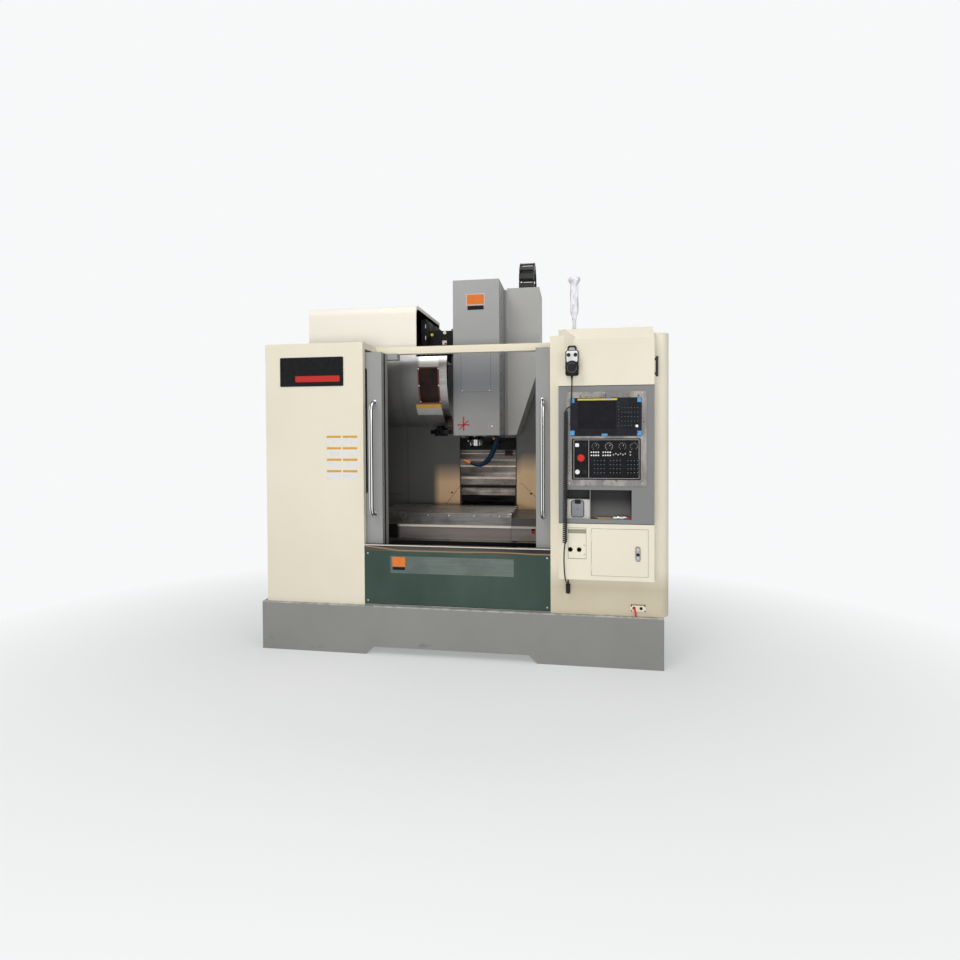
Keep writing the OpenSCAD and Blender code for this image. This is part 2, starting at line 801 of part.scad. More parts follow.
module handset() {
    x = handset_x;
    y = [console_y - handset_t, console_y];
    color("black") {
        difference() {
            face_plate([x - handset_w / 2, x + handset_w / 2], y, handset_z, 12);
            rod_y(x, [y[0] - 1, y[0] + 8], wheel_z, 10 + seat);
        }
        for (side = [-19, 19])
            rod_y(x + side, [y[0] - 14, y[0]], handset_z[1] - 26, 9);
        difference() {
            face_plate([x - 26, x + 26], [y[0] + 14, y[1] - 14],
                [handset_z[1] - 10, handset_z[1] + 28], 14);
            face_plate([x - 18, x + 18], [y[0] + 13, y[1] - 13],
                [handset_z[1] - 20, handset_z[1] + 20], 10);
        }
    }
}

module handset_wheel() {
    x = handset_x;
    y = wheel_y;
    color("dimgray") {
        difference() {
            rod_y(x, [y - wheel_t, y - seat], wheel_z, wheel_r);
            rod_y(x, [y - wheel_t - 1, y - wheel_t + 6], wheel_z, wheel_r - 6);
        }
        rod_y(x, [y - wheel_t + 6, y + 7], wheel_z, 10);
        rod_y(x + 20, [y - wheel_t, y - 10], wheel_z + 14, 6);
    }
}

// A round cord swept along points
function unit(v) = v / norm(v);
function sweep_dir(p, i) = unit(p[min(i + 1, len(p) - 1)] - p[max(i - 1, 0)]);
function sweep_ring(p, i, r, sides) =
    let (d = sweep_dir(p, i), u = unit(cross(d, [1, 0.2, 0.1])), v = cross(d, u))
    [for (k = [0:sides - 1]) p[i] + r * (u * cos(360 * k / sides) + v * sin(360 * k / sides))];

module sweep(points, r, sides) {
    n = len(points);
    verts = [for (i = [0:n - 1]) each sweep_ring(points, i, r, sides)];
    walls = [for (i = [0:n - 2], k = [0:sides - 1])
        [i * sides + k, i * sides + (k + 1) % sides,
         (i + 1) * sides + (k + 1) % sides, (i + 1) * sides + k]];
    ends = [[for (k = [sides - 1:-1:0]) k], [for (k = [0:sides - 1]) (n - 1) * sides + k]];
    polyhedron(verts, concat(walls, ends));
}

module cord_lead() {
    color("black") sweep(lead_points, cord_r, 8);
}

module cord_coil() {
    d = coil_points[1] - coil_points[0];
    color("black") translate(coil_points[0])
        rotate([0, acos(d[2] / norm(d)), atan2(d[1], d[0])]) cylinder(r = coil_r, h = norm(d));
}

module cord_tail() {
    color("black") sweep(tail_points, cord_r, 8);
}

module electrical_cabinet() {
    color("gainsboro") {
        difference() {
            box(elec_x, elec_y, elec_z);
            box([elec_x[0] + 15, elec_x[1] - 15], [elec_y[0] + 15, elec_y[1] + 1],
                [elec_z[0] + 15, elec_z[1] - 15]);
        }
        box([elec_x[0] + 40, elec_x[1] - 40], [elec_y[0] + 15, elec_y[0] + 75],
            [elec_z[0] + 80, elec_z[1] - 120]);
        for (z = [elec_z[0] + 100, elec_z[1] - 200])
            box([-200, 200], [column_y[1], elec_y[0]], [z, z + 60]);
        for (z = [elec_z[0] + 200, elec_z[1] - 200]) {
            rod_z(elec_x[0] - 8, elec_y[1] + elec_door_t / 2, [z, z + 60], 7);
            box([elec_x[0] - 15, elec_x[0] + 1], [elec_y[1] - 15, elec_y[1] + 3], [z, z + 60]);
        }
    }
}

module electrical_door() {
    y = [elec_y[1] + seat, elec_y[1] + elec_door_t];
    color("gainsboro") difference() {
        box([elec_x[0] + 2, elec_x[1]], y, [elec_z[0] + 2, elec_z[1] - 2]);
        box([elec_x[1] - 90, elec_x[1] - 50], [y[1] - 8, y[1] + 1], [1200, 1340]);
    }
}

module coolant_tank() {
    color("slategray") {
        difference() {
            box(tank_x, tank_y, tank_z);
            box([tank_x[0] + 6, tank_x[1] - 6], [tank_y[0] + 6, tank_y[1] - 6],
                [tank_z[0] + 6, tank_z[1] - 6]);
            box([tank_x[1] - 260, tank_x[1] - 60], [tank_y[0] + 60, tank_y[0] + 260],
                [tank_z[1] - 7, tank_z[1] + 1]);
        }
        for (x = [tank_x[0] + 60, tank_x[1] - 60], y = [tank_y[0] + 60, tank_y[1] - 60])
            rod_z(x, y, [0, tank_z[0]], 25);
        rod_z(tank_x[0] + 160, tank_y[1] - 140, [tank_z[1], tank_z[1] + 26], 95);
        rod_z(tank_x[0] + 160, tank_y[1] - 140, [tank_z[1] + 26, tank_z[1] + 270], 72);
    }
}

// Door leaves: mirrored copies that differ in their hangers
module leaf(x, hangers) {
    wx = (x[0] + x[1]) / 2;
    color("gray") {
        difference() {
            box(x, leaf_y, leaf_z);
            box([wx - window_w / 2, wx + window_w / 2], [leaf_y[0] - 1, leaf_y[1] + 1],
                [window_z, window_z + window_h]);
            box([wx - window_w / 2 - rebate, wx + window_w / 2 + rebate],
                [leaf_y[1] - glass_t - seat, leaf_y[1] + 1],
                [window_z - rebate, window_z + window_h + rebate]);
        }
        for (h = hangers) box(h, [leaf_y[1], rail_y[1]], [rail_z - 39, rail_z - seat]);
    }
}

module glass(x) {
    wx = (x[0] + x[1]) / 2;
    half = window_w / 2 + rebate - seat;
    color("lightblue", 0.4) box([wx - half, wx + half], [leaf_y[1] - glass_t, leaf_y[1]],
        [window_z - rebate + seat, window_z + window_h + rebate - seat]);
}

// Bowed tube handle on two feet
module handle(x) {
    y1 = leaf_y[0];
    bend = 60;
    z = [handle_z, handle_z + handle_h];
    color("silver") {
        for (e = [0, 1]) {
            rod_y(x, [y1 - handle_off + bend, y1], e == 0 ? z[0] + handle_r : z[1] - handle_r, handle_r);
            translate([x, y1 - handle_off + bend, e == 0 ? z[0] + handle_r + bend
                : z[1] - handle_r - bend]) rotate([0, -90, 0])
                rotate([0, 0, e == 0 ? 180 : 270]) rotate_extrude(angle = 90)
                    translate([bend, 0]) circle(r = handle_r);
        }
        rod_z(x, y1 - handle_off, [z[0] + handle_r + bend, z[1] - handle_r - bend], handle_r);
    }
}

left_leaf_x = [left_lead - leaf_w, left_lead];
right_leaf_x = [right_lead, right_lead + leaf_w];

module door_left_leaf() {
    leaf(left_leaf_x, [[left_lead - 84, left_lead], [left_lead - 580, left_lead - 480]]);
    color("gray") box([left_lead - 1, left_lead + 65], [leaf_y[1] + 2, rail_y[1]],
        [rail_z - 39, rail_z - seat]);
}

module door_left_glass() {
    glass(left_leaf_x);
}

module door_left_handle() {
    handle(left_lead - handle_in);
}

module door_right_leaf() {
    leaf(right_leaf_x, [[right_lead + 72, right_lead + 210], [right_lead + 480, right_lead + 580]]);
}

module door_right_glass() {
    glass(right_leaf_x);
}

module door_right_handle() {
    handle(right_lead + handle_in);
}

module storage_door() {
    y = [console_y - 1, console_y + store_t - seat];
    color("whitesmoke") difference() {
        face_plate([store_x[0] + 1.5, store_x[1] - 1.5], y, [store_z[0] + 1.5, store_z[1] - 1.5], 4);
        rod_y(latch_x, [y[0] - 1, y[1] + 1], latch_z, 6 + seat);
    }
    color("silver") for (z = knuckle_z)
        rod_z(store_x[0] + 1.5, console_y - 1, [z, z + knuckle_h], knuckle_r);
}

module storage_latch() {
    y = console_y - 1 - seat;
    color("silver") {
        face_plate([latch_x - latch_w / 2, latch_x + latch_w / 2], [y - 7, y],
            [latch_z - latch_h / 2, latch_z + latch_h / 2], 11);
        rod_y(latch_x, [y, console_y + store_t + 4], latch_z, 6);
        box([latch_x - 6, latch_x + 6], [console_y + store_t, console_y + store_t + 4],
            [latch_z, latch_z + 20]);
    }
}

module saddle() {
    z = saddle_z;
    casting_y = [guard_y[0], guard_y[1]];
    color("dimgray") {
        difference() {
            box([-700, 700], casting_y, z);
            box([-701, 701], [mid_y - 62, mid_y + 62], [z[1] - 62, z[1] + 1]);
        }
        for (y = [mid_y - x_rail_y, mid_y + x_rail_y])
            box([-690, 690], [y - rail_w / 2, y + rail_w / 2], [z[1], z[1] + 30]);
        for (x = [-y_rail_x, y_rail_x], y = [mid_y - 150, mid_y + 150])
            translate([x, y, bed_top + 12]) carriage([110, 130, z[0] - bed_top - 12], rail_w, 26 + seat);
        difference() {
            box([-50, 50], [mid_y - 60, mid_y + 60], [bed_top - 40, z[0]]);
            rod_y(0, [mid_y - 61, mid_y + 61], y_screw_z, screw_r + seat);
        }
        for (x = [-690, 660]) difference() {
            box([x, x + 30], [mid_y - 62, mid_y + 62], [z[1] - 62, z[1]]);
            rod_x([x - 1, x + 31], mid_y, x_screw_z, screw_r + seat);
        }
        box([-840, -700], [mid_y - 60, mid_y + 60], [x_screw_z - 60, x_screw_z + 60]);
    }
}

module saddle_guard() {
    lip_z = [table_z - table_t - 9, table_z - table_t + 5];
    plate_z = [saddle_z[0] + 56, lip_z[0]];
    seg = 3;
    color("silver") {
        box([-wing_x, wing_x], [guard_y[0] - guard_t, guard_y[0]], plate_z);
        box([-wing_x, wing_x], [guard_y[0] - 16, guard_y[0]], lip_z);
        box([-wing_x, wing_x], [guard_y[1], guard_y[1] + guard_t], plate_z);
        for (s = [-1, 1]) {
            x = s < 0 ? [-wing_x, -wing_w] : [wing_w, wing_x];
            difference() {
                box(x, [guard_y[0], guard_y[1]], [plate_z[0], x_cover_z - seg * step]);
                box([x[0] - 1, x[1] + 1], [guard_y[0] + 60, guard_y[1] - 60],
                    [plate_z[0] - 1, x_cover_skirt - 60]);
            }
            cover_x(s < 0 ? [-wing_w, -wing_w + x_cover_l] : [wing_w - x_cover_l, wing_w],
                table_d / 2 - 1 - seg * step, [x_cover_skirt, x_cover_z - seg * step]);
        }
        cover_y([y_lo - y_cover_l, y_lo], y_cover_w, y_cover_z);
        cover_y([y_hi, y_hi + y_cover_l], y_cover_w, y_cover_z);
        for (y = [[y_lo, y_lo + guard_t], [y_hi - guard_t, y_hi]])
            box([-y_cover_w, y_cover_w], y, [y_cover_z[1] - cover_t, plate_z[0]]);
    }
}

module y_cover_middle() {
    front_seat = y_front_end + y_cover_l;
    rear_seat = y_rear_end - y_cover_l;
    color("silver") {
        cover_y([(y_lo + front_seat) / 2 - y_cover_l, (y_lo + front_seat) / 2], y_cover_w - step,
            [y_cover_z[0], y_cover_z[1] - step]);
        cover_y([(y_hi + rear_seat) / 2, (y_hi + rear_seat) / 2 + y_cover_l], y_cover_w - step,
            [y_cover_z[0], y_cover_z[1] - step]);
    }
}

module table() {
    z = [table_z - table_t, table_z];
    color("gray") {
        difference() {
            box([table_x0, table_x1], [table_y0, table_y1], z);
            for (i = [0:slots - 1]) {
                y = mid_y + (i - (slots - 1) / 2) * slot_pitch;
                box([table_x0 - 1, table_x1 + 1], [y - slot_w / 2, y + slot_w / 2], [z[1] - 30, z[1] + 1]);
                box([table_x0 - 1, table_x1 + 1], [y - 15, y + 15], [z[1] - 30, z[1] - 18]);
            }
        }
        for (x = [table_x - 220, table_x + 220], y = [mid_y - x_rail_y, mid_y + x_rail_y])
            translate([x, y, saddle_z[1] + 12]) rotate([0, 0, 90])
                carriage([90, 110, z[0] - saddle_z[1] - 12], rail_w, 18 + seat);
        difference() {
            box([table_x - 55, table_x + 55], [mid_y - 42, mid_y + 42], [x_screw_z - 28, z[0]]);
            rod_x([table_x - 56, table_x + 56], mid_y, x_screw_z, screw_r + seat);
        }
    }
}

module table_covers() {
    color("dimgray") for (s = [-1, 1])
        cover_x(s < 0 ? [table_x0 - x_cover_l, table_x0] : [table_x1, table_x1 + x_cover_l],
            table_d / 2 - 1, [x_cover_skirt, x_cover_z]);
}

// One nested pair of X covers, placed in even steps between the table and the wings
module x_cover_pair(i) {
    left = table_x0 + (-wing_w + x_cover_l - table_x0) * i / 3;
    right = table_x1 + (wing_w - x_cover_l - table_x1) * i / 3;
    color("dimgray") {
        cover_x([left - x_cover_l, left], table_d / 2 - 1 - i * step,
            [x_cover_skirt, x_cover_z - i * step]);
        cover_x([right, right + x_cover_l], table_d / 2 - 1 - i * step,
            [x_cover_skirt, x_cover_z - i * step]);
    }
}

module x_cover_outer() {
    x_cover_pair(1);
}

module x_cover_inner() {
    x_cover_pair(2);
}

module x_screw() {
    color("silver") rod_x([-690, 690], mid_y, x_screw_z, screw_r);
}

module y_screw() {
    color("silver") rod_y(0, [-700, 320], y_screw_z, screw_r);
}

module z_screw() {
    color("silver") rod_z(column_x, z_screw_y, [720, 2230], screw_r);
}

module head_casting() {
    color("dimgray") {
        difference() {
            union() {
                side_outline([
                    [330, carriage_z], [330, 1900], [-320, 1900], [-320, 1420], [-60, 1402], [120, 1402]
                ], [-112, 150]);
                rod_z(0, spindle_y, [head_z - 6, 1440], 88);
                box([column_x - 225, column_x + 225], [330, 360], [carriage_z, 1790]);
            }
            rod_z(0, spindle_y, [head_z - 20, 1560], cartridge_r + seat);
            rod_z(0, spindle_y, [1559, 1901], 26);
        }
        for (x = [column_x - z_rail_x, column_x + z_rail_x], z = [1350, 1650]) difference() {
            box([x - 45, x + 45], [360, 394], [z, z + 120]);
            box([x - rail_w / 2 - seat, x + rail_w / 2 + seat], [365 - seat, 401], [z - 1, z + 121]);
        }
        difference() {
            box([column_x - 50, column_x + 50], [360, z_screw_y + 40], [1500, 1600]);
            rod_z(column_x, z_screw_y, [1499, 1601], screw_r + seat);
        }
        difference() {
            rod_z(0, spindle_y, [1900, 1990], 95);
            rod_z(0, spindle_y, [1899, 1980], 40);
        }
        box([-100, 100], [spindle_y - 100, spindle_y + 100], [1990, 2330]);
    }
}

module head_cover() {
    t = 4;
    color("whitesmoke") difference() {
        box(head_x, head_y, [head_z, head_top]);
        box([head_x[0] + t, head_x[1] - t], [head_y[0] + t, head_y[1] + 1],
            [head_z + t, head_top - t]);
        rod_z(0, spindle_y, [head_z - 1, head_z + t + 1], 88 + seat);
    }
}

module head_side_cover() {
    t = 5;
    x = side_x;
    back_y = chain_y + chain_t / 2 + seat;
    color("lightgray") {
        difference() {
            front_outline([
                [x[0], head_z], [x[0] + 66, head_z], [x[1] - 35, head_z + 415],
                [x[1], head_z + 521], [x[1], side_top], [x[0], side_top]
            ], side_y);
            front_outline([
                [x[0] + t, head_z + t], [x[0] + 66 - t, head_z + t], [x[1] - 35 - t, head_z + 415],
                [x[1] - t, head_z + 522], [x[1] - t, side_top - t], [x[0] + t, side_top - t]
            ], [side_y[0] + t, side_y[1] + 1]);
            for (y = [[-6, chain_t + 6], [side_y[1] - bend_notch, side_y[1] + 1]])
                box([chain_x[0] - 4, chain_x[1] + 4], y, [side_top - t - 1, side_top + 1]);
        }
        box([150, x[0]], [20, 280], [1560, 1820]);
        box(chain_x, [back_y, back_y + 6], [1900, side_top - 30]);
        box(chain_x, [back_y + 6, side_y[1]], [1900, 1906]);
        box([x[0] + t, chain_x[0]], [back_y, back_y + 6], [1900, side_top - 30]);
    }
}

// A chain link with its pitch along Z from the origin: two side plates that meet at a blunt
// point, joined by a bar on each face
module link() {
    half = chain_t / 2;
    cut = half * link_l / (2 * chain_bend) + 1.2;
    plate = [
        [-half, cut], [0, 1], [half, cut], [half, link_l - cut], [0, link_l - 1], [-half, link_l - cut]
    ];
    for (x = [chain_x[0], chain_x[1] - plate_t])
        side_outline(plate, [x, x + plate_t]);
    for (y = [-half, half - bar_t])
        box([chain_x[0] + plate_t - 1, chain_x[1] - plate_t + 1], [y + 0.5, y + bar_t],
            [0.2 * link_l, 0.8 * link_l]);
}

module drag_chain() {
    turn = 180 / arc_links;
    cy = chain_y + chain_bend;
    color("dimgray") {
        for (x = [chain_x[0] + 3, chain_x[1] - plate_t + 3]) {
            translate([x, cy, chain_axis_z]) rotate([90, 0, 90]) rotate_extrude(angle = 180)
                translate([chain_bend - 6, 0]) square([12, 4]);
            for (leg = [[chain_y, 6], [cy + chain_bend, 5]])
                box([x + 0.5, x + 3.5], [leg[0] - 5, leg[0] + 5],
                    [chain_axis_z - leg[1] * link_l + 6, chain_axis_z + 4]);
        }
        for (i = [1:6])
            translate([0, chain_y, chain_axis_z - i * link_l]) link();
        for (i = [1:5])
            translate([0, cy + chain_bend, chain_axis_z - i * link_l]) link();
        for (i = [0:arc_links - 1]) translate([0, cy, chain_axis_z])
            rotate([-(i + 0.5) * turn, 0, 0])
                translate([0, -chain_bend * cos(turn / 2), -link_l / 2]) link();
    }
}

module z_cover_top() {
    color("silver") {
        cover_z(0);
        box([column_x - 180, column_x + 180], [z_cover_y, z_cover_y + 40],
            [z_cover_bottoms[0] + z_cover_l - cover_t, carriage_z]);
        box([column_x - z_cover_w / 2, column_x + z_cover_w / 2], [z_cover_y - 6, z_cover_y + 1],
            [carriage_z - 87, carriage_z]);
    }
}

module z_cover_upper() {
    color("silver") cover_z(1);
}

module z_cover_lower() {
    color("silver") cover_z(2);
}

module z_cover_fixed() {
    half = z_cover_w / 2 - 3 * step;
    color("silver") {
        cover_z(3);
        difference() {
            box([column_x - half, column_x + half], [z_cover_y + 3 * step, column_y[0]], [684, 690]);
            for (x = [column_x - z_rail_x, column_x + z_rail_x])
                box([x - 40, x + 40], [360, 401], [683, 691]);
        }
    }
}

module spindle() {
    color("silver") {
        difference() {
            union() {
                rod_z(0, spindle_y, [1330, 1550], cartridge_r);
                rod_z(0, spindle_y, [1270, 1330], nose_r);
                rod_z(0, spindle_y, [1550, 1975], 19);
            }
            translate([0, spindle_y, 1269]) cylinder(r1 = 22.5, r2 = 12.4, h = 69);
        }
        for (s = [-1, 1])
            box([s * 35 - 8, s * 35 + 8], [spindle_y - 8, spindle_y + 8], [1262, 1271]);
    }
}

// Articulated coolant hose: a chain of ball segments along hand chosen points, measured from where
// the spindle's axis meets the lower face of the head
hose_bends = [
    [168, -130, -4], [170, -136, -41], [166, -142, -81], [156, -148, -120], [138, -152, -156],
    [113, -155, -184], [82, -157, -204], [48, -158, -210], [14, -156, -206], [-16, -153, -196]
];
hose_points = [for (p = hose_bends) [p[0], spindle_y + p[1], head_z + p[2]]];
nozzle_tip = [-62, spindle_y - 148, head_z - 176];

// A cone from one point to another
module taper(a, b, r1, r2) {
    d = b - a;
    translate(a) rotate([0, acos(d[2] / norm(d)), atan2(d[1], d[0])])
        cylinder(r1 = r1, r2 = r2, h = norm(d), $fn = 24);
}

module coolant_hose() {
    color("midnightblue") {
        translate([hose_points[0][0], hose_points[0][1], head_z - 24]) cylinder(r = 16, h = 24);
        for (i = [0:len(hose_points) - 2])
            taper(hose_points[i], hose_points[i + 1], 15 - i * 0.7, 10 - i * 0.5);
    }
    color("darkorange") taper(hose_points[len(hose_points) - 1], nozzle_tip, 10, 5);
}

bed();
base_skirt();
column();
left_cabinet();
right_cabinet();
top_beam();
front_panel();
enclosure_walls();
console_shell();
panel_frame();
display_unit();
operator_panel();
magazine_hood();
magazine_cover();
magazine_window();
changer_gearbox();
electrical_cabinet();
coolant_tank();
signal_lamp();
lamp_wrap();
handset();
cord_lead();
cord_coil();
cord_tail();
z_cover_fixed();
door_left_leaf();
door_left_glass();
door_left_handle();
door_right_leaf();
door_right_glass();
door_right_handle();
storage_door();
storage_latch();
electrical_door();
saddle();
saddle_guard();
table();
table_covers();
x_cover_outer();
x_cover_inner();
y_cover_middle();
x_screw();
y_screw();
z_screw();
head_casting();
head_cover();
head_side_cover();
coolant_hose();
spindle();
z_cover_top();
z_cover_upper();
z_cover_lower();
drag_chain();
magazine_disc();
tool_arm();
stop_button();
mode_knob();
feed_knob();
rapid_knob();
handset_wheel();
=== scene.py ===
"""Looks of a vertical machining centre with sliding doors, operator console and arm tool changer."""

import math

import bmesh
import bpy
from mathutils import Matrix, Vector


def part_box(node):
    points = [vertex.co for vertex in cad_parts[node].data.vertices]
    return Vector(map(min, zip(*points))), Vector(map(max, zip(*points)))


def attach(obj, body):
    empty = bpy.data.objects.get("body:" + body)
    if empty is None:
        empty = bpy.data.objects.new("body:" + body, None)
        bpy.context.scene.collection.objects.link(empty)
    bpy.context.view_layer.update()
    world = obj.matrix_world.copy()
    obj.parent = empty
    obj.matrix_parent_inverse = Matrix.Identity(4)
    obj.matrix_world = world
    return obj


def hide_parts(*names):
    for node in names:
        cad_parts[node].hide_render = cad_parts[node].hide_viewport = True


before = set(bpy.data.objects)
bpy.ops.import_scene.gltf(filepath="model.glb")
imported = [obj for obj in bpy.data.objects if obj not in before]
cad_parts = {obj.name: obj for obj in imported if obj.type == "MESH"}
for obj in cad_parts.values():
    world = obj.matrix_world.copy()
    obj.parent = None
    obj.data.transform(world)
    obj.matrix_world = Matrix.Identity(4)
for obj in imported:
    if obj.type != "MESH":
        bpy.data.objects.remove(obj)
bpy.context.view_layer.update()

MM = 0.001

# Camera, as in the photograph

CAMERA_AT = (0.728, -4.556, 1.380)
YAW = 9.4
PITCH = 1.12
ROLL = -0.3
LENS = 22.4
SHIFT = (0.0029, -0.0379)


def shown(obj):
    bpy.context.scene.collection.objects.link(obj)
    return obj


def set_camera():
    yaw = math.radians(YAW)
    pitch = math.radians(PITCH)
    look = Vector((-math.sin(yaw) * math.cos(pitch), math.cos(yaw) * math.cos(pitch), -math.sin(pitch)))
    data = bpy.data.cameras.new("camera")
    data.lens = LENS
    data.sensor_width = 36.0
    data.shift_x, data.shift_y = SHIFT
    data.clip_end = 100.0
    camera = shown(bpy.data.objects.new("camera", data))
    turn = look.to_track_quat("-Z", "Y").to_matrix().to_4x4()
    camera.matrix_world = Matrix.Translation(CAMERA_AT) @ turn @ Matrix.Rotation(math.radians(ROLL), 4, "Z")
    bpy.context.scene.camera = camera


set_camera()

# Finishes


def add_node(tree, kind, inputs=None, **settings):
    """A node with these settings and inputs: a socket is linked, anything else is set."""
    node = tree.nodes.new(kind)
    for key, value in settings.items():
        setattr(node, key, value)
    for key, value in (inputs or {}).items():
        if isinstance(value, bpy.types.NodeSocket):
            tree.links.new(value, node.inputs[key])
        else:
            node.inputs[key].default_value = value
    return node.outputs


class Finish:
    """One finish: a shader whose patterns lie in the machine's own space, and the slot it stands for."""

    def __init__(self, name, colour, rough, metal=0.0, slot=None, **inputs):
        self.material = bpy.data.materials.new(name)
        self.material.use_nodes = True
        self.slot = slot
        self.tree = self.material.node_tree
        self.shader = self.tree.nodes["Principled BSDF"]
        self.space = add_node(self.tree, "ShaderNodeTexCoord")["Object"]
        self.bump = None
        inputs = {"Base_Color": (*colour, 1.0), "Roughness": rough, "Metallic": metal, **inputs}
        for key, value in inputs.items():
            self.shader.inputs[key.replace("_", " ")].default_value = value

    def node(self, kind, inputs, output=0, **settings):
        return add_node(self.tree, "ShaderNode" + kind, inputs, **settings)[output]

    def joins(self, output, name):
        self.tree.links.new(output, self.shader.inputs[name])
        return self

    def stretched(self, stretch):
        return self.node("Mapping", {"Vector": self.space, "Scale": stretch})

    def cloud(self, scale, detail=3.0, stretch=(1, 1, 1)):
        inputs = {"Vector": self.stretched(stretch), "Scale": scale, "Detail": detail, "Roughness": 0.55}
        return self.node("TexNoise", inputs)

    def cells(self, scale):
        return self.node("TexVoronoi", {"Vector": self.stretched((1, 1, 1)), "Scale": scale})

    def ramp(self, value, low, high, to_low=0.0, to_high=1.0):
        limits = {"From Min": low, "From Max": high, "To Min": to_low, "To Max": to_high}
        return self.node("MapRange", {"Value": value, **limits})

    def along(self, axis):
        return self.node("SeparateXYZ", {"Vector": self.space}, axis)

    def rise(self, axis, *limits):
        """A ramp along an axis, in metres."""
        return self.ramp(self.along(axis), *limits)

    def maths(self, kind, a, b):
        return self.node("Math", {0: a, 1: b}, operation=kind)

    def times(self, a, b):
        return self.maths("MULTIPLY", a, b)

    def between(self, axis, low, high, edge=0.0004):
        """1 where the place along an axis, in metres, is between low and high."""
        starts = self.rise(axis, low - edge, low + edge)
        return self.times(starts, self.rise(axis, high - edge, high + edge, 1.0, 0.0))

    def mixed(self, share, a, b):
        a, b = ((*c, 1.0) if isinstance(c, tuple) else c for c in (a, b))
        return self.node("Mix", {0: share, 6: a, 7: b}, 2, data_type="RGBA")

    def blotches(self, scale, detail, low, high, a, b):
        """Colour a with cloudy blotches of colour b."""
        return self.mixed(self.ramp(self.cloud(scale, detail), low, high), a, b)

    def aged(self, base, dark, amount=0.5):
        """Colour that drifts a little over a large sheet, with faint wiped marks."""
        drift = self.ramp(self.cloud(2.2, 4.0), 0.35, 0.75, 0.0, amount)
        wiped = self.ramp(self.cloud(9.0, 5.0, (1, 1, 0.25)), 0.52, 0.8, 0.0, 0.35 * amount)
        return self.mixed(self.maths("MAXIMUM", drift, wiped), base, dark)

    def colour(self, output):
        self.paint = output
        return self.joins(output, "Base Color")

    def gloss(self, low, high, scale=14.0, detail=4.0, start=0.3, stop=0.7):
        """Roughness that wanders in patches."""
        return self.joins(self.ramp(self.cloud(scale, detail), start, stop, low, high), "Roughness")

    def relief(self, height, strength, depth):
        inputs = {"Strength": strength, "Distance": depth, "Height": height}
        if self.bump is not None:
            inputs["Normal"] = self.bump
        self.bump = self.node("Bump", inputs)
        return self.joins(self.bump, "Normal")


CREAM = (0.79, 0.735, 0.60)
CREAM_AGED = (0.73, 0.67, 0.52)
HEAD_GREY = (0.37, 0.37, 0.365)
GREY = (0.315, 0.315, 0.308)


def sprayed(f, colour, peel, rough=(0.36, 0.50)):
    """Paint sprayed on folded sheet, with orange peel."""
    return f.colour(colour).gloss(*rough).relief(f.cloud(260.0, 2.0), peel, 0.0006)


def powder_coat(name, slot, base, aged, rough=0.42):
    """Baked paint on folded sheet: orange peel, slow drift, darker in cloudy patches towards the floor, part
    dust and part painted shade.
    """
    f = Finish(name, base, rough, slot=slot)
    # Darker in cloudy patches towards the floor: part dust, part painted shade of the light falling off low
    # down.
    dust_and_painted_shade = f.times(f.rise("Z", 0.0, 0.9, 0.5, 0.0), f.cloud(6.0, 5.0))
    colour = f.mixed(dust_and_painted_shade, f.aged(base, aged), tuple(0.86 * c for c in aged))
    return sprayed(f, colour, 0.10, (rough - 0.06, rough + 0.08))


def electrical_door_coat():
    """Door of the electrical cabinet: cream paint on two banks of pressed louvres."""
    f = powder_coat("electrical_door_coat", None, CREAM, CREAM_AGED)
    low, high = (
        f.times(f.between("Y", 1.1475, 1.2), f.times(f.between("X", -0.24, 0.24), f.between("Z", *rows)))
        for rows in ((0.65, 0.85), (1.62, 1.82))
    )
    banks = f.maths("MAXIMUM", low, high)
    step = f.maths("MODULO", f.along("Z"), 0.025)
    # The dark stripe in each louvre opening is painted shade.
    slot = f.times(banks, f.ramp(step, 0.0, 0.004, 1.0, 0.0))
    f.colour(f.mixed(slot, f.paint, (0.05, 0.045, 0.04)))
    return f.relief(f.times(banks, f.ramp(step, 0.004, 0.022, 1.0, 0.0)), 1.0, 0.004)


def right_cabinet_coat():
    """Right cabinet: cream paint, darker and yellower below the console as painted shade of the console's
    cast shadow.
    """
    f = Finish("right_cabinet_coat", CREAM, 0.42)
    # Darker, yellower cream below the console: painted shade of the console's cast shadow.
    low = f.aged((0.60, 0.535, 0.40), (0.54, 0.47, 0.34), 0.7)
    return sprayed(f, f.mixed(f.rise("Z", 0.46, 0.58, 1.0, 0.0), f.aged(CREAM, CREAM_AGED), low), 0.10)


def head_coat():
    """Head covers: grey paint with a soft sheen, a dark band painted half way down as a painted reflection,
    and painted lighter towards the top.
    """
    f = Finish("head_cover_coat", HEAD_GREY, 0.34)
    # Dark band half way down: a painted reflection of a dark surround in the glossy paint.
    haze = f.times(f.rise("Z", 1.50, 1.72), f.rise("Z", 1.78, 2.05, 1.0, 0.0))
    # Darker low down and lighter towards the top: painted light on the glossy paint.
    paint = f.mixed(f.rise("Z", 1.4, 2.2), (0.29, 0.285, 0.275), f.aged(HEAD_GREY, GREY, 0.5))
    return sprayed(f, f.mixed(f.times(haze, 0.85), paint, (0.165, 0.17, 0.185)), 0.08, (0.28, 0.42))


def drum_coat():
    """Magazine cover: silver grey sheet with a satin metal sheen, and a pale reflection painted on its right
    part, strongest on top.
    """
    f = Finish("satin_silver_sheet", (0.26, 0.26, 0.255), 0.33, 0.6)
    streaks = f.ramp(f.cloud(14.0, 3.0, (1, 0.05, 0.05)), 0.3, 0.7)
    sheet = f.mixed(streaks, (0.19, 0.19, 0.188), (0.24, 0.24, 0.237))
    # Pale patch on the right of the drum, strongest on top: a painted reflection.
    bright = f.times(f.rise("X", -0.345, -0.325), f.rise("Z", 1.66, 1.90, 0.15, 1.0))
    return f.colour(f.mixed(bright, sheet, (0.60, 0.595, 0.57))).gloss(0.28, 0.42, 9.0)


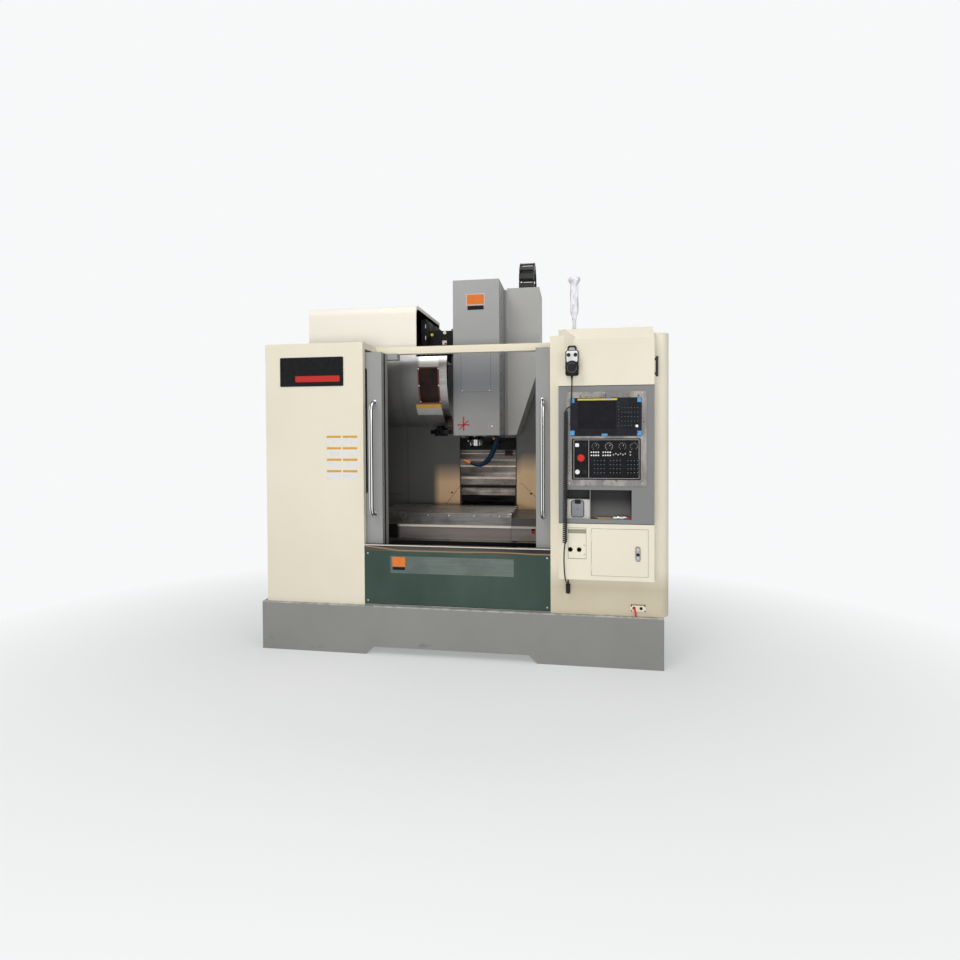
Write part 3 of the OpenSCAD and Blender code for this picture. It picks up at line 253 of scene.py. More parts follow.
def enclosure_coat():
    """Enclosure sheets: cream outside, dark grey inside, with a warm cream pool of light painted low at the
    rear, its slanted upper edge a soft painted shadow edge.
    """
    f = Finish("enclosure_two_tone_painted_light_coat", CREAM, 0.42)
    inside = f.times(f.between("X", -1.2212, 1.2488), f.rise("Y", 0.3265, 0.3275, 1.0, 0.0))
    # Low at the rear a warm cream patch with a soft slanted upper edge is painted: a pool of warm light under
    # a painted shadow edge.
    wide = f.times(f.rise("X", -0.455, -0.395), f.rise("X", 0.560, 0.561, 1.0, 0.0))
    height = f.maths("ADD", f.along("Z"), f.rise("X", 0.2, 0.3, 0.0, -0.09))
    low = f.times(wide, f.ramp(height, 0.96, 1.12, 1.0, 0.0))
    grey = f.aged((0.150, 0.150, 0.148), (0.110, 0.110, 0.108), 0.7)
    lining = f.mixed(low, grey, f.aged((1.0, 0.70, 0.42), (0.98, 0.63, 0.34)))
    return sprayed(f, f.mixed(inside, f.aged(CREAM, CREAM_AGED), lining), 0.12)


def base_coat():
    """Base skirt: grey paint, a pale band painted along its top lip as a painted highlight broken into
    patches, scuffed near the floor.
    """
    base = (0.252, 0.249, 0.236)
    f = Finish("base_skirt_paint", base, 0.5)
    # Pale cloudy patches along the top lip, strongest at the front: a painted highlight.
    worn = f.times(f.ramp(f.cloud(24.0, 4.0), 0.35, 0.6), f.rise("Y", -1.01, -0.98, 1.0, 0.25))
    marks = f.ramp(f.cloud(16.0, 6.0, (0.5, 0.5, 1.3)), 0.66, 0.74)
    scuff = f.times(f.rise("Z", 0.0, 0.26, 0.8, 0.1), marks)
    body = f.mixed(scuff, f.aged(base, (0.210, 0.207, 0.196), 0.7), (0.125, 0.122, 0.112))
    f.colour(f.mixed(f.times(f.between("Z", 0.296, 0.31), worn), body, (0.46, 0.45, 0.42)))
    return f.gloss(0.42, 0.6, 10.0).relief(f.cloud(240.0, 2.0), 0.12, 0.0006)


def casting_paint():
    """Filler and enamel on cast iron: soft waves under a satin skin, dark oily blotches."""
    base = (0.20, 0.205, 0.205)
    f = Finish("casting_enamel", base, 0.45)
    f.colour(f.blotches(5.0, 5.0, 0.5, 0.75, f.aged(base, (0.15, 0.15, 0.15)), (0.10, 0.095, 0.085)))
    return f.gloss(0.34, 0.55, 7.0, 4.0, 0.35, 0.65).relief(f.cloud(30.0, 4.0), 0.25, 0.002)


def black_enamel():
    base = (0.007, 0.007, 0.008)
    f = Finish("black_enamel", base, 0.5, slot="black_paint", Specular_IOR_Level=0.15)
    f.colour(f.blotches(16.0, 5.0, 0.5, 0.72, base, (0.018, 0.017, 0.016)))
    return f.gloss(0.4, 0.6, 12.0, 3.0, 0.35, 0.65).relief(f.cloud(180.0, 2.0), 0.12, 0.0006)


def green_panel_gloss():
    """Front apron: smoky green mirror sheet below with soft vertical streaks painted as reflections, oiled
    steel sill with a brown stain line above.
    """
    green = (0.050, 0.080, 0.066)
    f = Finish("apron_smoky_mirror", green, 0.12, 0.85)
    height = f.along("Z")
    streaks = f.ramp(f.cloud(70.0, 4.0, (0.04, 1, 1)), 0.3, 0.7)
    steel = f.mixed(streaks, (0.07, 0.064, 0.058), (0.125, 0.113, 0.104))
    steel = f.mixed(f.rise("X", 0.0, 0.45), steel, (0.036, 0.035, 0.037))
    wave = f.maths("ADD", height, f.rise("X", -0.58, -0.36, -0.022, 0.0))
    wave = f.maths("ADD", wave, f.ramp(f.cloud(1.6, 1.0, (1, 0, 0)), 0.3, 0.7, -0.008, 0.008))
    stain = f.times(f.ramp(wave, 0.641, 0.646), f.ramp(wave, 0.648, 0.653, 1.0, 0.0))
    stain = f.times(stain, f.rise("Y", -0.989, -0.988, 1.0, 0.0))
    # Lighter green vertical streaks: painted reflections in the mirror sheet.
    cloudy = f.mixed(f.ramp(f.cloud(3.0, 5.0, (1, 1, 0.35)), 0.4, 0.75), green, (0.080, 0.118, 0.100))
    panel = f.mixed(f.ramp(height, 0.6405, 0.6415), cloudy, steel)
    f.colour(f.mixed(stain, panel, (0.36, 0.24, 0.12)))
    return f.gloss(0.07, 0.22, 11.0).relief(f.cloud(1.3, 2.0, (1, 1, 0.5)), 0.35, 0.01)


def brushed_steel(name, slot, base, dark, grain, rough=0.32, axis=(0.03, 1, 1)):
    """Bare sheet with a rolling grain along one direction and dull smears."""
    f = Finish(name, base, rough, 1.0, slot)
    lines = f.ramp(f.cloud(grain, 3.0, axis), 0.3, 0.7)
    f.colour(f.blotches(5.0, 5.0, 0.45, 0.75, f.mixed(lines, dark, base), tuple(0.8 * c for c in dark)))
    return f.gloss(rough - 0.08, rough + 0.14, 8.0).relief(lines, 0.06, 0.0004)


def way_cover_steel():
    """Telescopic cover sheets: bright rolled steel, slightly wavy, with grime; near black at the top, with
    painted shade near the head and at the foot, a painted highlight band and a painted shadow line.
    """
    f = brushed_steel("way_cover_steel", None, (0.52, 0.45, 0.40), (0.17, 0.148, 0.132), 60.0, 0.22)
    grime = f.times(f.ramp(f.cloud(7.0, 4.0, (0.35, 1, 2.2)), 0.42, 0.68), 0.8)
    sheets = f.mixed(grime, f.paint, (0.045, 0.040, 0.036))
    # Darker above z 1.075, near the head: painted shade.
    sheets = f.mixed(f.rise("Z", 1.045, 1.075, 0.0, 0.62), sheets, (0.030, 0.030, 0.031))
    # Pale band: a painted highlight on the sheet.
    sheets = f.mixed(f.between("Z", 0.991, 1.009, 0.002), sheets, (0.46, 0.38, 0.32))
    # Dark band: a painted shadow line under a cover's edge.
    sheets = f.mixed(f.between("Z", 0.915, 0.942, 0.002), sheets, (0.03, 0.028, 0.026))
    # Near black above z 1.23; near black at the foot, which is painted shade.
    oily = f.maths("MAXIMUM", f.rise("Z", 1.2300, 1.2310), f.rise("Z", 0.856, 0.860, 1.0, 0.0))
    f.colour(f.mixed(oily, sheets, (0.012, 0.012, 0.012)))
    return f.relief(f.cloud(5.0, 1.0, (1, 1, 3.0)), 0.5, 0.012)


def enamelled(f, colour):
    return f.colour(colour).gloss(0.3, 0.55, 9.0).relief(f.cloud(200.0, 2.0), 0.1, 0.0005)


def dark_cover_coat():
    """Table guards and X covers: dark grey enamel worn by chips."""
    base = (0.080, 0.075, 0.072)
    f = Finish("dark_cover_enamel", base, 0.4)
    paint = f.aged(base, (0.052, 0.048, 0.045), 0.8)
    return enamelled(f, f.blotches(60.0, 6.0, 0.62, 0.7, paint, (0.15, 0.14, 0.135)))


def guard_coat():
    """Saddle guard: brownish grey enamel painted lighter low down against the shade under the sill, a pale
    painted highlight along its top edge, painted shade at its left end.
    """
    base = (0.28, 0.255, 0.24)
    f = Finish("guard_brown_grey_enamel", base, 0.42)
    sheet = f.aged(base, (0.22, 0.20, 0.19), 0.8)
    # Lighter towards the bottom: painted light that offsets the shade under the sill.
    sheet = f.mixed(f.rise("Z", 0.59, 0.68, 1.0, 0.0), sheet, (0.50, 0.435, 0.40))
    # Pale strip along the top edge: a painted highlight, brighter right of the seam.
    bare = f.mixed(f.rise("X", 0.271, 0.272), (0.90, 0.80, 0.70), (0.54, 0.49, 0.45))
    sheet = f.mixed(f.between("Z", 0.6975, 0.7135), sheet, bare)
    # Near black at the left end: painted shade.
    return enamelled(f, f.mixed(f.rise("X", -0.56, -0.535), (0.012, 0.011, 0.010), sheet))


def ground_iron():
    """Ground cast iron table: fine cross grain, oil stained, its top painted near white towards the front
    right as a painted sheen.
    """
    f = Finish("ground_table_iron", (0.22, 0.215, 0.205), 0.38, 0.85, "bright_steel")
    grain = f.ramp(f.cloud(160.0, 3.0, (0.06, 1, 1)), 0.3, 0.7)
    iron = f.mixed(grain, (0.29, 0.28, 0.27), (0.44, 0.43, 0.42))
    top = f.blotches(7.0, 6.0, 0.45, 0.7, iron, (0.17, 0.16, 0.145))
    # Top face painted near white towards the front right: a painted reflection.
    worn = f.times(f.rise("Z", 0.7935, 0.7945), f.rise("Y", 0.0, 0.10, 1.0, 0.0))
    worn = f.times(worn, f.rise("X", -0.45, 0.05, 0.1, 1.0))
    return f.colour(f.mixed(worn, top, (0.98, 0.93, 0.87))).gloss(0.3, 0.55, 10.0).relief(grain, 0.08, 0.0003)


def ground_steel():
    """Turned and ground shafts and screws."""
    f = Finish("ground_shaft_steel", (0.62, 0.62, 0.63), 0.18, 1.0, "bright_steel")
    f.colour(f.blotches(420.0, 2.0, 0.3, 0.7, (0.5, 0.5, 0.51), (0.72, 0.72, 0.73)))
    return f.gloss(0.12, 0.26, 30.0, 3.0)


def spindle_coat():
    """Spindle nose: blackened, with one bright ground ring broken by two oily streaks."""
    f = Finish("spindle_nose_steel", (0.62, 0.62, 0.63), 0.3, 1.0)
    streaks = f.maths("MAXIMUM", f.between("X", 0.002, 0.006), f.between("X", 0.015, 0.021))
    ring = f.times(f.between("Z", 1.279, 1.323), f.ramp(streaks, 0.0, 1.0, 1.0, 0.0))
    f.colour(f.mixed(ring, (0.010, 0.010, 0.010), (0.86, 0.86, 0.87)))
    return f.gloss(0.24, 0.4, 60.0, 3.0)


def chromed_tube(name="chrome_plate", middle=None):
    """Chrome plate; a tube that stands at a given X has two bright lines painted along its sides and a dark
    line down its middle, as painted reflections.
    """
    f = Finish(name, (0.42, 0.42, 0.43), 0.10, 1.0, "chromed_tube")
    plate = f.blotches(7.0, 3.0, 0.5, 0.75, (0.44, 0.44, 0.45), (0.36, 0.36, 0.37))
    if middle is not None:
        off = f.maths("SUBTRACT", f.along("X"), middle)
        off = f.times(off, off)
        # Dark line down the middle and bright lines either side: painted reflections of the tube.
        painted_dark_middle = f.ramp(off, 0.0028 ** 2, 0.0040 ** 2, 1.0, 0.0)
        edge = f.ramp(off, 0.0085 ** 2, 0.0105 ** 2)
        plate = f.mixed(painted_dark_middle, f.mixed(edge, (0.92, 0.92, 0.93), (0.20, 0.20, 0.21)), (0.07, 0.07, 0.075))
    return f.colour(plate).gloss(0.08, 0.16, 6.0, 3.0, 0.35, 0.7)


def moulded_plastic(name, slot, colour, rough=0.45, grain=900.0):
    """Moulded housing with a fine spark grain and rubbed high spots."""
    f = Finish(name, colour, rough, slot=slot, Specular_IOR_Level=0.16)
    lighter = tuple(min(1.0, c * 1.35 + 0.003) for c in colour)
    f.colour(f.blotches(18.0, 4.0, 0.45, 0.75, colour, lighter))
    return f.gloss(rough - 0.08, rough + 0.08, 22.0, 3.0).relief(f.cells(grain), 0.08, 0.0003)


def flat_ink(name, slot, colour, rough=0.35):
    """Screen ink on a plate: even colour with a slightly rubbed, mottled sheen."""
    f = Finish(name, colour, rough, slot=slot, Specular_IOR_Level=0.16)
    worn = tuple(min(1.0, 0.9 * c + 0.006) for c in colour)
    f.colour(f.blotches(30.0, 5.0, 0.5, 0.75, colour, worn))
    return f.gloss(rough - 0.06, rough + 0.1, 20.0, 3.0)


def cord_rubber():
    base = (0.012, 0.012, 0.013)
    f = Finish("cord_rubber", base, 0.42)
    f.colour(f.blotches(40.0, 4.0, 0.45, 0.7, base, (0.03, 0.029, 0.028)))
    return f.relief(f.cloud(700.0, 2.0), 0.12, 0.0003)


def door_glass():
    """Laminated window: clear with a faint green edge and wiped haze."""
    f = Finish("laminated_window_glass", (0.80, 0.88, 0.85), 0.04, Transmission_Weight=0.92, IOR=1.5)
    return f.gloss(0.02, 0.16, 6.0, 4.0, 0.4, 0.75)


def brown_acrylic():
    f = Finish("brown_acrylic", (0.012, 0.006, 0.005), 0.2, Specular_IOR_Level=0.12)
    f.colour(f.blotches(12.0, 3.0, 0.4, 0.7, (0.010, 0.005, 0.005), (0.028, 0.012, 0.009)))
    return f.gloss(0.15, 0.3, 14.0, 4.0, 0.4, 0.7)


def console_coat():
    """Console sheet metal: cream above and below, grey in the middle third, painted shade deep in the niche,
    darkest at its top.
    """
    f = Finish("console_two_tone_coat", CREAM, 0.42)
    grey = f.aged((0.215, 0.215, 0.215), (0.185, 0.185, 0.185), 0.7)
    body = f.mixed(f.between("Z", 0.851, 1.640), f.aged(CREAM, CREAM_AGED), grey)
    opening = f.times(f.between("X", 0.659, 1.040), f.between("Z", 0.875, 1.047))
    niche = f.times(opening, f.rise("Y", -1.079, -1.078))
    # Dark towards the niche's top, lighter at its floor: painted shade.
    shade = f.mixed(f.rise("Z", 0.880, 0.985), (0.16, 0.155, 0.15), (0.005, 0.005, 0.006))
    socket = f.times(f.rise("X", 0.8085, 0.8090, 1.0, 0.0), f.rise("Z", 0.9855, 0.9860, 1.0, 0.0))
    body = f.mixed(niche, body, f.mixed(socket, shade, (0.62, 0.60, 0.55)))
    grip = f.times(f.rise("X", 1.1636, 1.1640), f.between("Z", 1.60, 1.86))
    return sprayed(f, f.mixed(grip, body, (0.015, 0.015, 0.016)), 0.12)


def bezel_steel():
    """Bare fixing frame round the display, with fingermarks and dried flux."""
    base, dark, upright = (0.33, 0.315, 0.295), (0.25, 0.235, 0.22), (1, 1, 0.05)
    f = brushed_steel("bezel_frame_steel", None, base, dark, 150.0, 0.4, upright)
    rub = f.times(f.ramp(f.cloud(11.0, 5.0, (1, 1, 0.6)), 0.45, 0.62), 0.7)
    rubbed = f.mixed(rub, f.paint, (0.52, 0.47, 0.44))
    return f.colour(f.blotches(34.0, 5.0, 0.60, 0.68, rubbed, (0.15, 0.12, 0.10)))


def lamp_stack():
    """Signal lamp: red, amber and green lenses on a grey foot and tube."""
    f = Finish("signal_lamp_lenses", (0.5, 0.5, 0.5), 0.25)
    body = (0.72, 0.70, 0.73)
    for low, lens in ((2.220, (0.55, 0.05, 0.03)), (2.167, (0.75, 0.33, 0.03)), (2.114, (0.03, 0.40, 0.13))):
        body = f.mixed(f.between("Z", low, low + 0.048), body, lens)
    return f.colour(body).relief(f.cloud(3.0, 0.0, (1, 1, 60.0)), 0.4, 0.001)


def packing_film():
    """Clear stretch film left on the lamp: milky where it is folded over itself."""
    f = Finish("cloudy_packing_film", (0.86, 0.85, 0.90), 0.3, slot="packing_film")
    creases = f.ramp(f.cloud(46.0, 5.0, (1, 1, 0.35)), 0.40, 0.56)
    f.colour(f.mixed(creases, (0.60, 0.58, 0.66), (0.90, 0.89, 0.93)))
    f.joins(f.ramp(f.cloud(26.0, 5.0, (1, 1, 0.3)), 0.35, 0.7, 0.88, 1.0), "Alpha")
    return f.relief(f.cloud(60.0, 4.0, (1, 1, 0.3)), 0.6, 0.003)


HANDLE_LEFT_X = -0.520
HANDLE_RIGHT_X = 0.533
CREAM_COAT = powder_coat("cream_powder_coat", "cream_paint", CREAM, CREAM_AGED)
GREY_COAT = powder_coat("mid_grey_powder_coat", "mid_grey_paint", GREY, (0.270, 0.270, 0.262))
# The hood's cream is a lighter copy of the cream paint: painted light, as the hood is lit more.
HOOD_COAT = powder_coat("hood_powder_coat", "cream_paint", (0.88, 0.84, 0.74), (0.83, 0.78, 0.67))
# The side cover's grey is lighter than the grey paint: painted light against the shade it stands in.
SIDE_COAT = powder_coat("side_cover_coat", None, (0.43, 0.425, 0.41), (0.37, 0.365, 0.35), 0.38)
BLACK = black_enamel()
SHEET = brushed_steel("bare_guard_sheet", "bare_sheet", (0.50, 0.49, 0.47), (0.36, 0.35, 0.335), 110.0)
WARM_LIP = brushed_steel(
    "rolled_lip_steel", "way_cover_steel", (0.56, 0.47, 0.39), (0.40, 0.33, 0.27), 80.0, 0.2)
PLATE_STEEL = brushed_steel(
    "pale_name_plate", "brushed_plate", (0.20, 0.235, 0.215), (0.15, 0.18, 0.165), 120.0, 0.3)
TABLE_IRON = ground_iron()
SHAFT = ground_steel()
CHROME = chromed_tube()
BLACK_PLASTIC = moulded_plastic("black_moulded_plastic", "black_plastic", (0.016, 0.016, 0.017))
UNIT_PLASTIC = moulded_plastic("display_bezel_plastic", None, (0.013, 0.013, 0.018), 0.45)
PANEL_PLASTIC = moulded_plastic("operator_panel_film", None, (0.007, 0.007, 0.008), 0.55)
KEY_PLASTIC = moulded_plastic("key_cap_plastic", "black_plastic", (0.014, 0.015, 0.018), 0.55)
RED_PLASTIC = moulded_plastic("stop_button_red", "red_plastic", (0.60, 0.035, 0.022), 0.28)
WHITE_PLASTIC = moulded_plastic("white_key_plastic", "cream_paint", (0.80, 0.80, 0.78), 0.35)
YELLOW_PLASTIC = moulded_plastic("marker_yellow", "lamp_plastic", (0.78, 0.60, 0.06), 0.35)
ORANGE_PLASTIC = moulded_plastic("nozzle_orange", "blue_hose_plastic", (0.80, 0.20, 0.02), 0.38)
BLUE_HOSE = moulded_plastic("blue_segment_hose", "blue_hose_plastic", (0.008, 0.022, 0.045), 0.3)
CHAIN_PLASTIC = moulded_plastic("chain_nylon", None, (0.030, 0.029, 0.028), 0.45)
GREY_PLASTIC = moulded_plastic("socket_grey_plastic", "console_grey_plastic", (0.26, 0.27, 0.29), 0.4)
PALE_PLASTIC = moulded_plastic("handset_pale_face", "console_grey_plastic", (0.78, 0.78, 0.79), 0.4)
RUBBER = moulded_plastic("black_door_rubber", "black_plastic", (0.012, 0.012, 0.012), 0.6, 500.0)
CORD = cord_rubber()
GLASS = door_glass()
PLATE_BLACK = flat_ink("plate_black", "black_paint", (0.006, 0.006, 0.007), 0.3)
INK_RED = flat_ink("ink_red", "red_plastic", (0.50, 0.035, 0.03))
INK_ORANGE = flat_ink("ink_orange", "lamp_plastic", (0.72, 0.19, 0.035))
INK_AMBER = flat_ink("ink_amber", "lamp_plastic", (0.68, 0.36, 0.06))
INK_WHITE = flat_ink("ink_white", "cream_paint", (0.74, 0.73, 0.71))
INK_SILVER = flat_ink("ink_silver", "brushed_plate", (0.42, 0.42, 0.41))
INK_BLUE = flat_ink("ink_blue", "cord_rubber", (0.10, 0.32, 0.62))
INK_YELLOW = flat_ink("ink_yellow", "lamp_plastic", (0.62, 0.50, 0.08))
SCREEN = flat_ink("dark_screen_glass", "black_plastic", (0.006, 0.006, 0.010), 0.12)

for finish, names in (
    (casting_paint(), "bed column saddle head_casting"), (base_coat(), "base_skirt"),
    (CREAM_COAT, "left_cabinet top_beam electrical_cabinet storage_door"),
    (right_cabinet_coat(), "right_cabinet"), (green_panel_gloss(), "front_panel"),
    (enclosure_coat(), "enclosure_walls"), (console_coat(), "console_shell"), (bezel_steel(), "panel_frame"),
    (UNIT_PLASTIC, "display_unit"), (PANEL_PLASTIC, "operator_panel"), (HOOD_COAT, "magazine_hood"),
    (drum_coat(), "magazine_cover"), (brown_acrylic(), "magazine_window"),
    (BLACK, "changer_gearbox magazine_disc tool_arm"), (lamp_stack(), "signal_lamp"),
    (GREY_COAT, "coolant_tank door_left_leaf door_right_leaf"), (GLASS, "door_left_glass door_right_glass"),
    (BLACK_PLASTIC, "handset mode_knob feed_knob rapid_knob handset_wheel"),
    (way_cover_steel(), "z_cover_fixed z_cover_top z_cover_upper z_cover_lower"),
    (chromed_tube("chrome_tube_left", HANDLE_LEFT_X), "door_left_handle"),
    (chromed_tube("chrome_tube_right", HANDLE_RIGHT_X), "door_right_handle"), (CHROME, "storage_latch"),
    (electrical_door_coat(), "electrical_door"), (guard_coat(), "saddle_guard"), (TABLE_IRON, "table"),
    (dark_cover_coat(), "table_covers x_cover_outer x_cover_inner"), (SHEET, "y_cover_middle"),
    (SHAFT, "x_screw y_screw z_screw"), (head_coat(), "head_cover"), (SIDE_COAT, "head_side_cover"),
    (BLUE_HOSE, "coolant_hose"), (spindle_coat(), "spindle"), (CHAIN_PLASTIC, "drag_chain"),
    (RED_PLASTIC, "stop_button"),
):
    for node_name in names.split():
        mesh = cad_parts[node_name].data
        mesh.materials.clear()
        mesh.materials.append(finish.material)

# Shapes, in millimetres


def vertex(bm, p):
    return bm.verts.new(tuple(c * MM for c in p))


def box(bm, x, y, z):
    """A box between two limits on each axis."""
    corner = [vertex(bm, (a, b, c)) for c in z for b in y for a in x]
    for face in ((0, 2, 3, 1), (4, 5, 7, 6), (0, 1, 5, 4), (1, 3, 7, 5), (3, 2, 6, 7), (2, 0, 4, 6)):
        bm.faces.new([corner[i] for i in face])


def skin(bm, rows, ends):
    """Faces between rows of corners. The end rows are joined to each other, capped or left open."""
    for a, b in zip(rows, rows[1:] + rows[:1] if ends == "closed" else rows[1:]):
        for i in range(len(a)):
            j = (i + 1) % len(a)
            bm.faces.new([a[i], a[j], b[j], b[i]])
    if ends == "capped":
        bm.faces.new(rows[0][::-1])
        bm.faces.new(rows[-1])


def band(bm, loops, ends="closed"):
    """A skin through loops of points."""
    skin(bm, [[vertex(bm, p) for p in loop] for loop in loops], ends)


def outline_card(bm, points, y, thick):
    """A flat plate with a front view outline, its face at y and its back at y + thick."""
    front, back = ([vertex(bm, (p[0], depth, p[1])) for p in points] for depth in (y, y + thick))
    bm.faces.new(front)
    bm.faces.new(back[::-1])
    for i in range(len(points)):
        j = (i + 1) % len(points)
        bm.faces.new([front[j], front[i], back[i], back[j]])


def ring_card(bm, outer, inner, y, thick):
    """A flat frame facing the front, between two outlines that have the same number of points."""
    sides = ((outer, y), (inner, y), (inner, y + thick), (outer, y + thick))
    band(bm, [[(p[0], depth, p[1]) for p in points] for points, depth in sides])


def ray_card(bm, centre, angle, inner, outer, half, y, thick):
    """A narrow bar on a dial, along a ray from its centre."""
    (x, z), c, s = centre, math.cos(angle), math.sin(angle)
    corners = ((outer, half), (outer, -half), (inner, -half), (inner, half))
    outline_card(bm, [(x + r * c - w * s, z + r * s + w * c) for r, w in corners], y, thick)


def round_corners(x, z, r, steps=5):
    """A rectangle with round corners, listed against the clock as seen from the front."""
    points = []
    left, right, low, high = x[0] + r, x[1] - r, z[0] + r, z[1] - r
    for cx, cz, start in ((right, high, 0), (left, high, 90), (left, low, 180), (right, low, 270)):
        for i in range(steps + 1):
            a = math.radians(start + 90 * i / steps)
            points.append((cx + r * math.cos(a), cz + r * math.sin(a)))
    return points


def turns(count):
    return [2 * math.pi * i / count for i in range(count)]


def circle(at, axis, along, r, sides):
    """Points of one ring of a turned shape, or its one point where the radius is 0."""
    points = [(r * math.cos(a), r * math.sin(a)) for a in turns(sides)] if r else [(0, 0)]
    orders = {
        "X": lambda u, v: (along, u, v), "Y": lambda u, v: (u, along, v), "Z": lambda u, v: (u, v, along),
    }
    order = orders[axis]
    return [tuple(a + b for a, b in zip(at, order(u, v))) for u, v in points]


def turned(bm, profile, at, axis="Y", sides=32):
    """A closed turned shape: profile is (distance along the axis, radius) pairs, end radii 0."""
    rings = [[vertex(bm, p) for p in circle(at, axis, along, r, sides)] for along, r in profile]
    for a, b in zip(rings, rings[1:]):
        for i in range(sides):
            j = (i + 1) % sides
            if len(a) == 1:
                bm.faces.new([a[0], b[i], b[j]])
            elif len(b) == 1:
                bm.faces.new([a[i], b[0], a[j]])
            else:
                bm.faces.new([a[i], b[i], b[j], a[j]])


def tube(bm, points, r, sides=12):
    """A round bar swept along points, closed at both ends, with one radius or one for each point."""
    pts = [Vector(p) * MM for p in points]
    radii = r if isinstance(r, list) else [r] * len(pts)
    side = (pts[1] - pts[0]).normalized().orthogonal().normalized()
    rings = []
    for i, p in enumerate(pts):
        way = (pts[min(i + 1, len(pts) - 1)] - pts[max(i - 1, 0)]).normalized()
        side = (side - way * side.dot(way)).normalized()
        other = way.cross(side)
        rings.append([
            bm.verts.new(p + (side * math.cos(a) + other * math.sin(a)) * radii[i] * MM) for a in turns(sides)
        ])
    skin(bm, rings, "capped")


def smooth_line(points, steps=6):
    """Points on a smooth curve through the given ones."""
    out = []
    for i in range(len(points) - 1):
        p = [Vector(points[max(0, min(len(points) - 1, k))]) for k in (i - 1, i, i + 1, i + 2)]
        for s in range(steps):
            t = s / steps
            out.append(0.5 * (
                2 * p[1] + (p[2] - p[0]) * t + (2 * p[0] - 5 * p[1] + 4 * p[2] - p[3]) * t * t
                + (3 * p[1] - p[0] - 3 * p[2] + p[3]) * t ** 3
            ))
    out.append(Vector(points[-1]))
    return out


def grid(xs, y, zs):
    return [(x, y, z) for x in xs for z in zs]


# Pieces


def piece(name, bm, finish, body="frame", slot=None, bevel=0.0, segments=2, smooth=40):
    """The finished piece: normals out, optional rounded edges, riding on its body."""
    bmesh.ops.recalc_face_normals(bm, faces=bm.faces)
    mesh = bpy.data.meshes.new(name)
    bm.to_mesh(mesh)
    bm.free()
    mesh.materials.append(finish.material)
    obj = shown(bpy.data.objects.new(name, mesh))
    if bevel:
        edge = obj.modifiers.new("edge", "BEVEL")
        edge.width = bevel * MM
        edge.segments = segments
        edge.limit_method = "ANGLE"
        edge.angle_limit = math.radians(35)
    if smooth:
        mesh.shade_smooth()
        mesh.set_sharp_from_angle(angle=math.radians(smooth))
    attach(obj, body)
    return obj


def boxes(name, rows, finish, **rest):
    """One piece of boxes, each given by its limits on X, Y and Z."""
    bm = bmesh.new()
    for limits in rows:
        box(bm, *limits)
    return piece(name, bm, finish, **rest)


def rods(name, rows, finish, axis="Y", sides=32, **rest):
    """One piece of turned shapes, each given by its profile and its place."""
    bm = bmesh.new()
    for profile, at in rows:
        turned(bm, profile, at, axis, sides)
    return piece(name, bm, finish, **rest)


def tubes(name, rows, finish, **rest):
    """One piece of round bars, each given by its points and its radius."""
    bm = bmesh.new()
    for points, r in rows:
        tube(bm, points, r)
    return piece(name, bm, finish, **rest)


def outlined(name, points, y, thick, finish, **rest):
    bm = bmesh.new()
    outline_card(bm, points, y, thick)
    return piece(name, bm, finish, **rest)


def card(name, x, z, y, thick, corner, finish, body="frame", slot=None, bevel=0.4):
    """A plate facing the front, with round corners."""
    points = round_corners(x, z, corner)
    return outlined(name, points, y, thick, finish, body=body, slot=slot, bevel=bevel, segments=1)


def frame_card(name, x, z, width, y, thick, corner, finish, body="frame", slot=None):
    """A narrow border facing the front."""
    bm = bmesh.new()
    hole = (x[0] + width, x[1] - width), (z[0] + width, z[1] - width)
    ring_card(bm, round_corners(x, z, corner), round_corners(*hole, max(0.5, corner - width)), y, thick)
    return piece(name, bm, finish, body, slot)


def repeats_tree(name, make_shape, sizes):
    """A node tree that puts one small shape on every point it is given. Sizes are its named inputs."""
    tree = bpy.data.node_groups.new(name, "GeometryNodeTree")
    inputs = [("Geometry", "Geometry"), *((size, "Float") for size in sizes)]
    for label, kind in (*inputs, ("Turn", "Rotation"), ("Finish", "Material")):
        tree.interface.new_socket(name=label, in_out="INPUT", socket_type="NodeSocket" + kind)
    tree.interface.new_socket(name="Geometry", in_out="OUTPUT", socket_type="NodeSocketGeometry")
    given = add_node(tree, "NodeGroupInput")
    spread = add_node(tree, "GeometryNodeInstanceOnPoints", {
        "Points": given["Geometry"], "Instance": make_shape(tree, given), "Rotation": given["Turn"]})
    real = add_node(tree, "GeometryNodeRealizeInstances", {"Geometry": spread["Instances"]})
    coats = {"Geometry": real["Geometry"], "Material": given["Finish"]}
    coated = add_node(tree, "GeometryNodeSetMaterial", coats)
    add_node(tree, "NodeGroupOutput", {"Geometry": coated["Geometry"]})
    return tree


def scaled(tree, socket, factor):
    return add_node(tree, "ShaderNodeMath", {0: socket, 1: factor}, operation="MULTIPLY")["Value"]


def joined(tree, parts):
    join = tree.nodes.new("GeometryNodeJoinGeometry")
    for part in parts:
        tree.links.new(part, join.inputs["Geometry"])
    return join.outputs["Geometry"]


def screw_shape(tree, given):
    """Button head on a washer with a socket ring: four stepped rods."""
    rods_made = []
    for wide, high, sides in ((None, 0.5, 20), (0.72, None, 20), (0.52, 1.7, 20), (0.26, 1.9, 6)):
        radius, height = (
            given[name] if share is None else scaled(tree, given[name], share)
            for name, share in (("Radius", wide), ("Height", high))
        )
        sizes = {"Vertices": sides, "Radius": radius, "Depth": height}
        rods_made.append(add_node(tree, "GeometryNodeMeshCylinder", sizes)["Mesh"])
    return joined(tree, rods_made)


